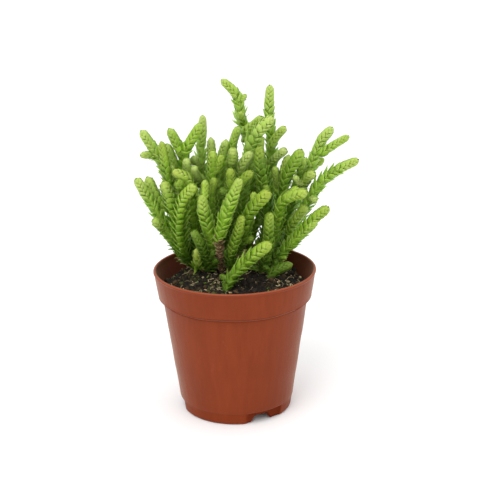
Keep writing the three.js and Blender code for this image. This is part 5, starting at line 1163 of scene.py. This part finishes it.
    # floor plates with drainage holes, on the inner and the under side
    n0 = len(verts)
    holes = []
    for i in range(6):
        t = math.radians(NOTCHES[0] + 30 + 60 * i)
        holes.append((HOLE_PCD_R * math.cos(t), HOLE_PCD_R * math.sin(t)))
    extra_v, extra_q, extra_t, euv3, euv4 = [], [], [], [], []
    HN = 28
    plates = []
    for which, ring_at, zf in ((0, 0, zi), (1, rows - 1, FLOOR_Z)):
        pts = [Vector((float(verts[ring_at * M + j][0]), float(verts[ring_at * M + j][1]))) for j in range(M)]
        edges = [(j, (j + 1) % M) for j in range(M)]
        ids = [ring_at * M + j for j in range(M)]
        loops = []
        for hx, hy in holes:
            first = len(pts)
            for q in range(HN):
                t = 2 * math.pi * q / HN
                x, y = hx + HOLE_R * math.cos(t), hy + HOLE_R * math.sin(t)
                pts.append(Vector((x, y)))
                ids.append(n0 + len(extra_v))
                extra_v.append((x, y, zf))
            edges += [(first + q, first + (q + 1) % HN) for q in range(HN)]
            loops.append([ids[first + q] for q in range(HN)])
        for rr_ in (5.0, 12.0):
            for q in range(18):
                t = 2 * math.pi * q / 18
                pts.append(Vector((rr_ * math.cos(t), rr_ * math.sin(t))))
                ids.append(n0 + len(extra_v))
                extra_v.append((rr_ * math.cos(t), rr_ * math.sin(t), zf))
        res = delaunay_2d_cdt(pts, edges, [], 1, 1e-6)
        out_pts, _, out_faces, orig = res[0], res[1], res[2], res[3]
        for f in out_faces:
            c = sum((out_pts[i] for i in f), Vector((0, 0))) / len(f)
            if any((c.x - hx) ** 2 + (c.y - hy) ** 2 < HOLE_R ** 2 * 0.97 for hx, hy in holes):
                continue
            tri = [ids[orig[i][0]] for i in f]
            p2 = [out_pts[i] for i in f]
            area = (p2[1] - p2[0]).cross(p2[2] - p2[0])
            if (area > 0) != (which == 0):
                tri, p2 = tri[::-1], p2[::-1]
            extra_t.append(tri)
            off = (0.14, 0.15) if which == 0 else (0.44, 0.15)
            euv3.append([(off[0] + p.x / 60 * 0.25, off[1] + p.y / 60 * 0.25) for p in p2])
        plates.append(loops)
    for la, lb in zip(*plates):
        for q in range(HN):
            k = (q + 1) % HN
            extra_q.append((la[q], la[k], lb[k], lb[q]))
            euv4.append(((0.7 + 0.2 * q / HN, 0.05), (0.7 + 0.2 * (q + 1) / HN, 0.05), (0.7 + 0.2 * (q + 1) / HN, 0.09), (0.7 + 0.2 * q / HN, 0.09)))
    verts = np.vstack([verts, np.array(extra_v)])
    painted_highlight += [0.0] * len(extra_v)
    inside += [0.7] * len(extra_v)
    # the floor plates are a little darkened as well, painted shade
    foot += [0.3] * len(extra_v)
    A = np.zeros((len(verts), 4))
    A[:, 0], A[:, 2], A[:, 3] = painted_highlight, inside, foot
    heap = Heap()
    heap.add(verts, {4: np.vstack([quads, np.array(extra_q)]), 3: np.array(extra_t)}, A, None,
             {4: np.concatenate([uvs, np.array(euv4)]), 3: np.array(euv3)})
    return heap


pot = pot_mesh().build("pot_shell", [MAT_POT])
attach(pot, "root")
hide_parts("pot")


# ---- the soil ------------------------------------------------------------
SOIL_TOP_R = BAND_R - WALL - 0.12


def soil_height(x, y):
    r = math.hypot(x, y)
    z = float(soil_z(x, y))
    z += 1.05 * lumps(x, y, 0, 0.085, 3.0, 3) + 0.55 * lumps(x, y, 0, 0.35, 9.0, 3)
    z += 0.9 * float(ease((r - 33) / 7)) * lumps(x, y, 0, 0.12, 21.0, 2) - 0.5 * float(ease((r - 36.0) / 3.0))
    return z


def soil_mesh():
    radii = list(np.concatenate([np.linspace(1.2, 38.2, 62), [38.7, 39.0]]) * (SOIL_TOP_R / 39.0))
    M = 210
    verts, A = [(0.0, 0.0, soil_height(0, 0))], []
    for r in radii:
        for j in range(M):
            a = 2 * math.pi * j / M
            jit = 0.35 * noise.noise(Vector((r * 0.9, a * 7, 1.7))) if r < SOIL_TOP_R - 0.5 else 0.0
            x, y = (r + jit) * math.cos(a), (r + jit) * math.sin(a)
            verts.append((x, y, soil_height(x, y)))
    low = [(BAND_R - WALL - 1.0, BAND_Z + 1.2), (NECK_R - WALL - 0.55, BAND_Z - 3.0), (33.0, 30.0), (BASE_R - WALL + 0.1, FLOOR_Z + FLOOR_T + 0.4)]
    for r, z in low:
        for j in range(M):
            a = 2 * math.pi * j / M
            verts.append((r * math.cos(a), r * math.sin(a), z))
    verts.append((0.0, 0.0, FLOOR_Z + FLOOR_T + 0.4))
    rings = len(radii) + len(low)
    quads, tris, quv, tuv = [], [], [], []

    def uv(ring, j):
        if ring < len(radii):
            t = 2 * math.pi * j / M
            k = 0.43 * (ring + 1) / len(radii)
            return (0.45 + k * math.cos(t), 0.55 + k * math.sin(t))
        return (0.005 + 0.98 * j / M, 0.10 - 0.03 * (ring - len(radii)))

    for i in range(rings - 1):
        for j in range(M):
            k = j + 1
            quads.append((1 + i * M + j, 1 + (i + 1) * M + j, 1 + (i + 1) * M + k % M, 1 + i * M + k % M))
            if i == len(radii) - 1:
                quv.append(((0.005 + 0.98 * j / M, 0.115), (0.005 + 0.98 * j / M, 0.105), (0.005 + 0.98 * k / M, 0.105), (0.005 + 0.98 * k / M, 0.115)))
            else:
                quv.append((uv(i, j), uv(i + 1, j), uv(i + 1, k), uv(i, k)))
    for j in range(M):
        tris.append((0, 1 + j, 1 + (j + 1) % M))
        tuv.append(((0.45, 0.55), uv(0, j), uv(0, j + 1)))
        last = 1 + (rings - 1) * M
        tris.append((len(verts) - 1, last + (j + 1) % M, last + j))
        tuv.append(((0.95, 0.95), (0.95 + 0.04 * math.cos(j / M * 6.28), 0.95 + 0.04 * math.sin(j / M * 6.28)), (0.95 + 0.04 * math.cos((j + 1) / M * 6.28), 0.95 + 0.04 * math.sin((j + 1) / M * 6.28))))
    verts = np.array(verts)
    A = np.zeros((len(verts), 4))
    for i, (x, y, z) in enumerate(verts):
        n = noise.noise(Vector((x * 0.25, y * 0.25, 4.0)))
        A[i, 0] = max(0.0, n) * 0.5
        A[i, 2] = max(0.0, noise.noise(Vector((x * 0.2, y * 0.2, 11.0))) - 0.1) * (0.9 if x < -6 else 0.35)
    heap = Heap()
    heap.add(verts, {4: np.array(quads), 3: np.array(tris)}, A, None, {4: np.array(quv), 3: np.array(tuv)})
    return heap


soil = soil_mesh().build("soil_bed", [MAT_SOIL])
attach(soil, "root")
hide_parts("soil")


def ico(level):
    t = (1 + 5 ** 0.5) / 2
    v = [(-1, t, 0), (1, t, 0), (-1, -t, 0), (1, -t, 0), (0, -1, t), (0, 1, t), (0, -1, -t), (0, 1, -t), (t, 0, -1), (t, 0, 1), (-t, 0, -1), (-t, 0, 1)]
    f = [(0, 11, 5), (0, 5, 1), (0, 1, 7), (0, 7, 10), (0, 10, 11), (1, 5, 9), (5, 11, 4), (11, 10, 2), (10, 7, 6), (7, 1, 8),
         (3, 9, 4), (3, 4, 2), (3, 2, 6), (3, 6, 8), (3, 8, 9), (4, 9, 5), (2, 4, 11), (6, 2, 10), (8, 6, 7), (9, 8, 1)]
    v = [unit(np.array(p, float)) for p in v]
    for _ in range(level):
        mids, nf = {}, []
        for a, b, c in f:
            m = []
            for p, q in ((a, b), (b, c), (c, a)):
                key = (min(p, q), max(p, q))
                if key not in mids:
                    mids[key] = len(v)
                    v.append(unit(v[p] + v[q]))
                m.append(mids[key])
            nf += [(a, m[0], m[2]), (b, m[1], m[0]), (c, m[2], m[1]), (m[0], m[1], m[2])]
        f = nf
    return np.array(v), np.array(f)


def turn_matrix(rng):
    q = np.array([rng.gauss(0, 1) for _ in range(4)])
    w, x, y, z = q / np.linalg.norm(q)
    return np.array([[1 - 2 * (y * y + z * z), 2 * (x * y - z * w), 2 * (x * z + y * w)],
                     [2 * (x * y + z * w), 1 - 2 * (x * x + z * z), 2 * (y * z - x * w)],
                     [2 * (x * z - y * w), 2 * (y * z + x * w), 1 - 2 * (x * x + y * y)]])


def in_pot(rng, r_max=38.4):
    while True:
        x, y = rng.uniform(-r_max, r_max), rng.uniform(-r_max, r_max)
        if x * x + y * y < r_max * r_max:
            return x, y


def crumbs(name, count, level, sizes, traits_of, seed, sink=0.25, flat=(0.5, 1.0), r_max=38.4):
    rng = random.Random(seed)
    V, F = ico(level)
    heap = Heap()
    side = math.ceil(math.sqrt(count))
    fuv = []
    lat = np.stack([np.arctan2(V[:, 1], V[:, 0]) / (2 * math.pi) + 0.5, V[:, 2] * 0.5 + 0.5], 1)
    for tri in F:
        p = lat[tri].copy()
        if p[:, 0].max() - p[:, 0].min() > 0.5:
            p[p[:, 0] < 0.5, 0] += 1.0
        fuv.append(p * (0.6, 0.9) + (0.05, 0.05))
    fuv = np.array(fuv)
    for i in range(count):
        x, y = in_pot(rng, r_max)
        size = sizes(rng)
        M3 = turn_matrix(rng)
        S = np.diag([rng.uniform(0.75, 1.25), rng.uniform(0.65, 1.1), rng.uniform(*flat)]) * size
        seedv = rng.uniform(0, 90)
        wob = np.array([1 + 0.34 * noise.noise(Vector((p[0] * 1.4 + seedv, p[1] * 1.4, p[2] * 1.4 + seedv))) for p in V])
        pts = (V * wob[:, None]) @ S @ M3.T
        room = 39.2 - math.hypot(x, y) - size
        if room < 0:
            x, y = x * 0.96, y * 0.96
        z = soil_height(x, y)
        pts += (x, y, z + size * (0.5 - sink))
        tr = traits_of(rng, x, y)
        A = np.tile(np.array(tr), (len(V), 1))
        o = np.array([(i % side) / side, (i // side) / side])
        heap.add(pts, {3: F}, A, None, {3: fuv / side + o})
    ob = heap.build(name, [MAT_SOIL], smooth=level > 0)
    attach(ob, "root")
    return ob


def peat_traits(rng, x, y):
    k = rng.random()
    tone, light, moss = 0.15 * rng.random(), 0.0, 0.0
    if k < 0.22:
        tone = rng.uniform(0.3, 1.0)
    elif k < 0.25:
        light = rng.uniform(0.25, 0.75)
    if x < -4 and rng.random() < 0.20:
        moss = rng.uniform(0.3, 0.85)
    elif rng.random() < 0.05:
        moss = rng.uniform(0.2, 0.6)
    return (tone, light, moss, rng.random())


crumbs("soil_crumbs", 620, 1, lambda r: min(2.0, r.lognormvariate(-0.22, 0.42)), peat_traits, 7)
crumbs("soil_grains", 2300, 0, lambda r: min(0.8, r.lognormvariate(-1.05, 0.4)), peat_traits, 8, sink=0.1)
crumbs("soil_grit", 90, 1, lambda r: r.uniform(0.22, 0.48), lambda r, x, y: (0.3, r.uniform(0.6, 1.0), 0.0, r.random()), 9, sink=0.0)


def fibres(name, count, seed):
    rng = random.Random(seed)
    heap = Heap()
    side = math.ceil(math.sqrt(count))
    n, M = 9, 5
    for i in range(count):
        x, y = in_pot(rng, 37.5)
        while -7 < x < 13 and rng.random() < 0.7:      # few pale strands in the middle under the plant, keeping painted shade there
            x, y = in_pot(rng, 37.5)
        if x < 0 and rng.random() < 0.35:
            x = -x
        length = rng.uniform(2.0, 8.5)
        thick = rng.uniform(0.07, 0.30)
        head = rng.uniform(0, 2 * math.pi)
        bend = rng.gauss(0, 0.42)
        lift = rng.uniform(0.1, 1.3) if rng.random() < 0.6 else 0.15
        pts = []
        cx, cy, hd = x, y, head
        for k in range(n):
            if math.hypot(cx, cy) > 38.2:
                hd += math.pi * 0.5
                cx, cy = cx * 0.98, cy * 0.98
            z = soil_height(cx, cy) + 0.12 + lift * math.sin(math.pi * k / (n - 1)) + 0.12 * rng.random()
            pts.append((cx, cy, z))
            cx += math.cos(hd) * length / n
            cy += math.sin(hd) * length / n
            hd += bend + rng.gauss(0, 0.22)
        pts = np.array(pts)
        verts = []
        for k in range(n):
            d = unit(pts[min(n - 1, k + 1)] - pts[max(0, k - 1)])
            u = unit(np.cross(d, (0.1, 0.2, 1.0)))
            w = np.cross(d, u)
            r = thick * (0.45 + 0.55 * math.sin(math.pi * (0.12 + 0.76 * k / (n - 1))))
            for j in range(M):
                t = 2 * math.pi * j / M
                verts.append(pts[k] + r * (math.cos(t) * u + math.sin(t) * w))
        quads, quv = [], []
        o = np.array([(i % side) / side, (i // side) / side])
        for k in range(n - 1):
            for j in range(M):
                quads.append((k * M + j, k * M + (j + 1) % M, (k + 1) * M + (j + 1) % M, (k + 1) * M + j))
                q = np.array([(k / n, j / M), (k / n, (j + 1) / M), ((k + 1) / n, (j + 1) / M), ((k + 1) / n, j / M)])
                quv.append(q / side * 0.9 + o)
        caps = [list(range(M))[::-1], list(range((n - 1) * M, n * M))]
        cuv = np.array([[o + 0.001 * np.array([q, q * q % 3]) for q in range(M)]] * 2)
        A = np.zeros((len(verts), 4))
        A[:, 0] = rng.random() ** 2.2
        heap.add(np.array(verts), {4: np.array(quads), M: np.array(caps)}, A, None, {4: np.array(quv), M: cuv})
    ob = heap.build(name, [MAT_FIBRE])
    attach(ob, "root")


fibres("soil_fibres", 300, 12)


def litter(name, count, seed):
    """Fallen scale leaves and green flecks of moss lying on the peat."""
    rng = random.Random(seed)
    heap = Heap()
    side = math.ceil(math.sqrt(count))
    for i in range(count):
        x, y = in_pot(rng, 37.2)
        if rng.random() < 0.55:
            x = -abs(x)
        if rng.random() < 0.5:
            y = -abs(y)
        z = soil_height(x, y)
        L = rng.uniform(1.1, 2.9)
        M3 = turn_matrix(rng)
        nrm = unit(M3[:, 2] * 0.8 + np.array([0, 0, 1.0]))
        fwd = unit(np.cross(nrm, M3[:, 0]))
        side_v = np.cross(fwd, nrm)
        R = L * 0.36

        def polar(s, rho, phi, fwd=fwd, nrm=nrm, side_v=side_v, x=x, y=y, z=z, R=R, L=L):
            xx, yy = rho * np.sin(phi), rho * np.cos(phi) - R * 0.9
            base = np.array([x, y, z + 0.25])
            return base + (L / 2 - s)[..., None] * fwd + xx[..., None] * side_v + yy[..., None] * nrm

        one = lambda v: np.array([float(v)])
        rings = dict(sb=one(L), sm=one(L * 0.48), st=one(0), rb=one(R * 0.9), rm=one(R * 1.05), rt=one(R * 1.0),
                     nb=one(0), nm=one(0), nt=one(0), ob=one(1), om=one(1), ot=one(1), phi=one(0), half=one(R * rng.uniform(0.7, 1.0)),
                     keel=one(R * 0.2), thick=one(R * rng.uniform(0.15, 0.4)), skew=one(0))
        dry = rng.choice((0.0, 0.2, 0.4, 0.7, 1.0))
        traits = dict(young=one(rng.uniform(0, 0.25)), chance=one(rng.random()), warm=one(rng.random()), old=one(rng.uniform(0.3, 1.0)), dry=one(dry),
                      tone=one(rng.uniform(-1.0, -0.7)))
        tile = np.array([[(i % side) / side, (i // side) / side, 0.95 / side]])
        put_leaves(heap, polar, rings, tile, traits)
    ob = heap.build(name, [MAT_LEAF])
    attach(ob, "root")


litter("soil_litter", 110, 31)

# ---- floor and light -----------------------------------------------------
floor_mesh = bpy.data.meshes.new("floor")
S = 3.0
floor_mesh.from_pydata([(-S, -S, 0), (S, -S, 0), (S, S, 0), (-S, S, 0)], [], [(0, 1, 2, 3)])
floor_mesh.update()
floor = bpy.data.objects.new("floor", floor_mesh)
floor.location = (0, 0, float(AXIS[2]) - 0.00005)
bpy.context.scene.collection.objects.link(floor)
floor_mesh.materials.append(MAT_FLOOR)
floor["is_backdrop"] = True

world = bpy.data.worlds.new("soft_studio")
bpy.context.scene.world = world
world.use_nodes = True
bg = world.node_tree.nodes["Background"]
bg.inputs[0].default_value = (1.0, 1.0, 1.0, 1.0)
bg.inputs[1].default_value = 0.78


def area(name, pos, aim, size, power, colour=(1, 1, 1)):
    d = bpy.data.lights.new(name, "AREA")
    d.shape = "RECTANGLE"
    d.size, d.size_y = size
    d.energy = power
    d.color = colour
    ob = bpy.data.objects.new(name, d)
    bpy.context.scene.collection.objects.link(ob)
    ob.location = pos
    ob.rotation_euler = (Vector(aim) - Vector(pos)).to_track_quat("-Z", "Y").to_euler()
    return ob


area("key", (-0.45, -0.75, 1.25), (0, 0, 0.09), (0.9, 0.9), 9.0)
area("fill", (0.9, -0.7, 0.7), (0, 0, 0.09), (0.8, 0.8), 2.0)
top_data = bpy.data.lights.new("top", "SUN")
top_data.energy, top_data.angle = 0.87, math.radians(70)
top = bpy.data.objects.new("top", top_data)
bpy.context.scene.collection.objects.link(top)
top.rotation_euler = (Vector((0, 0, 0)) - Vector((0.1, 0.25, 1.0))).to_track_quat("-Z", "Y").to_euler()
front_data = bpy.data.lights.new("front", "SUN")
front_data.energy, front_data.angle = 0.50, math.radians(40)
front = bpy.data.objects.new("front", front_data)
bpy.context.scene.collection.objects.link(front)
front.rotation_euler = (Vector((0, 0, 0)) - Vector((-0.25, -1.0, 0.65))).to_track_quat("-Z", "Y").to_euler()

bpy.context.scene.view_settings.view_transform = "Standard"
bpy.context.scene.view_settings.look = "None"
bpy.context.scene.view_settings.exposure = 0.0

tris = {}
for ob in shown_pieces():
    if ob.type == "MESH":
        ob.data.calc_loop_triangles()
        tris[ob.name] = len(ob.data.loop_triangles)
print("leaves", leaf_total, "pieces", len(tris), "triangles", sum(tris.values()), "largest", max(tris.values()))
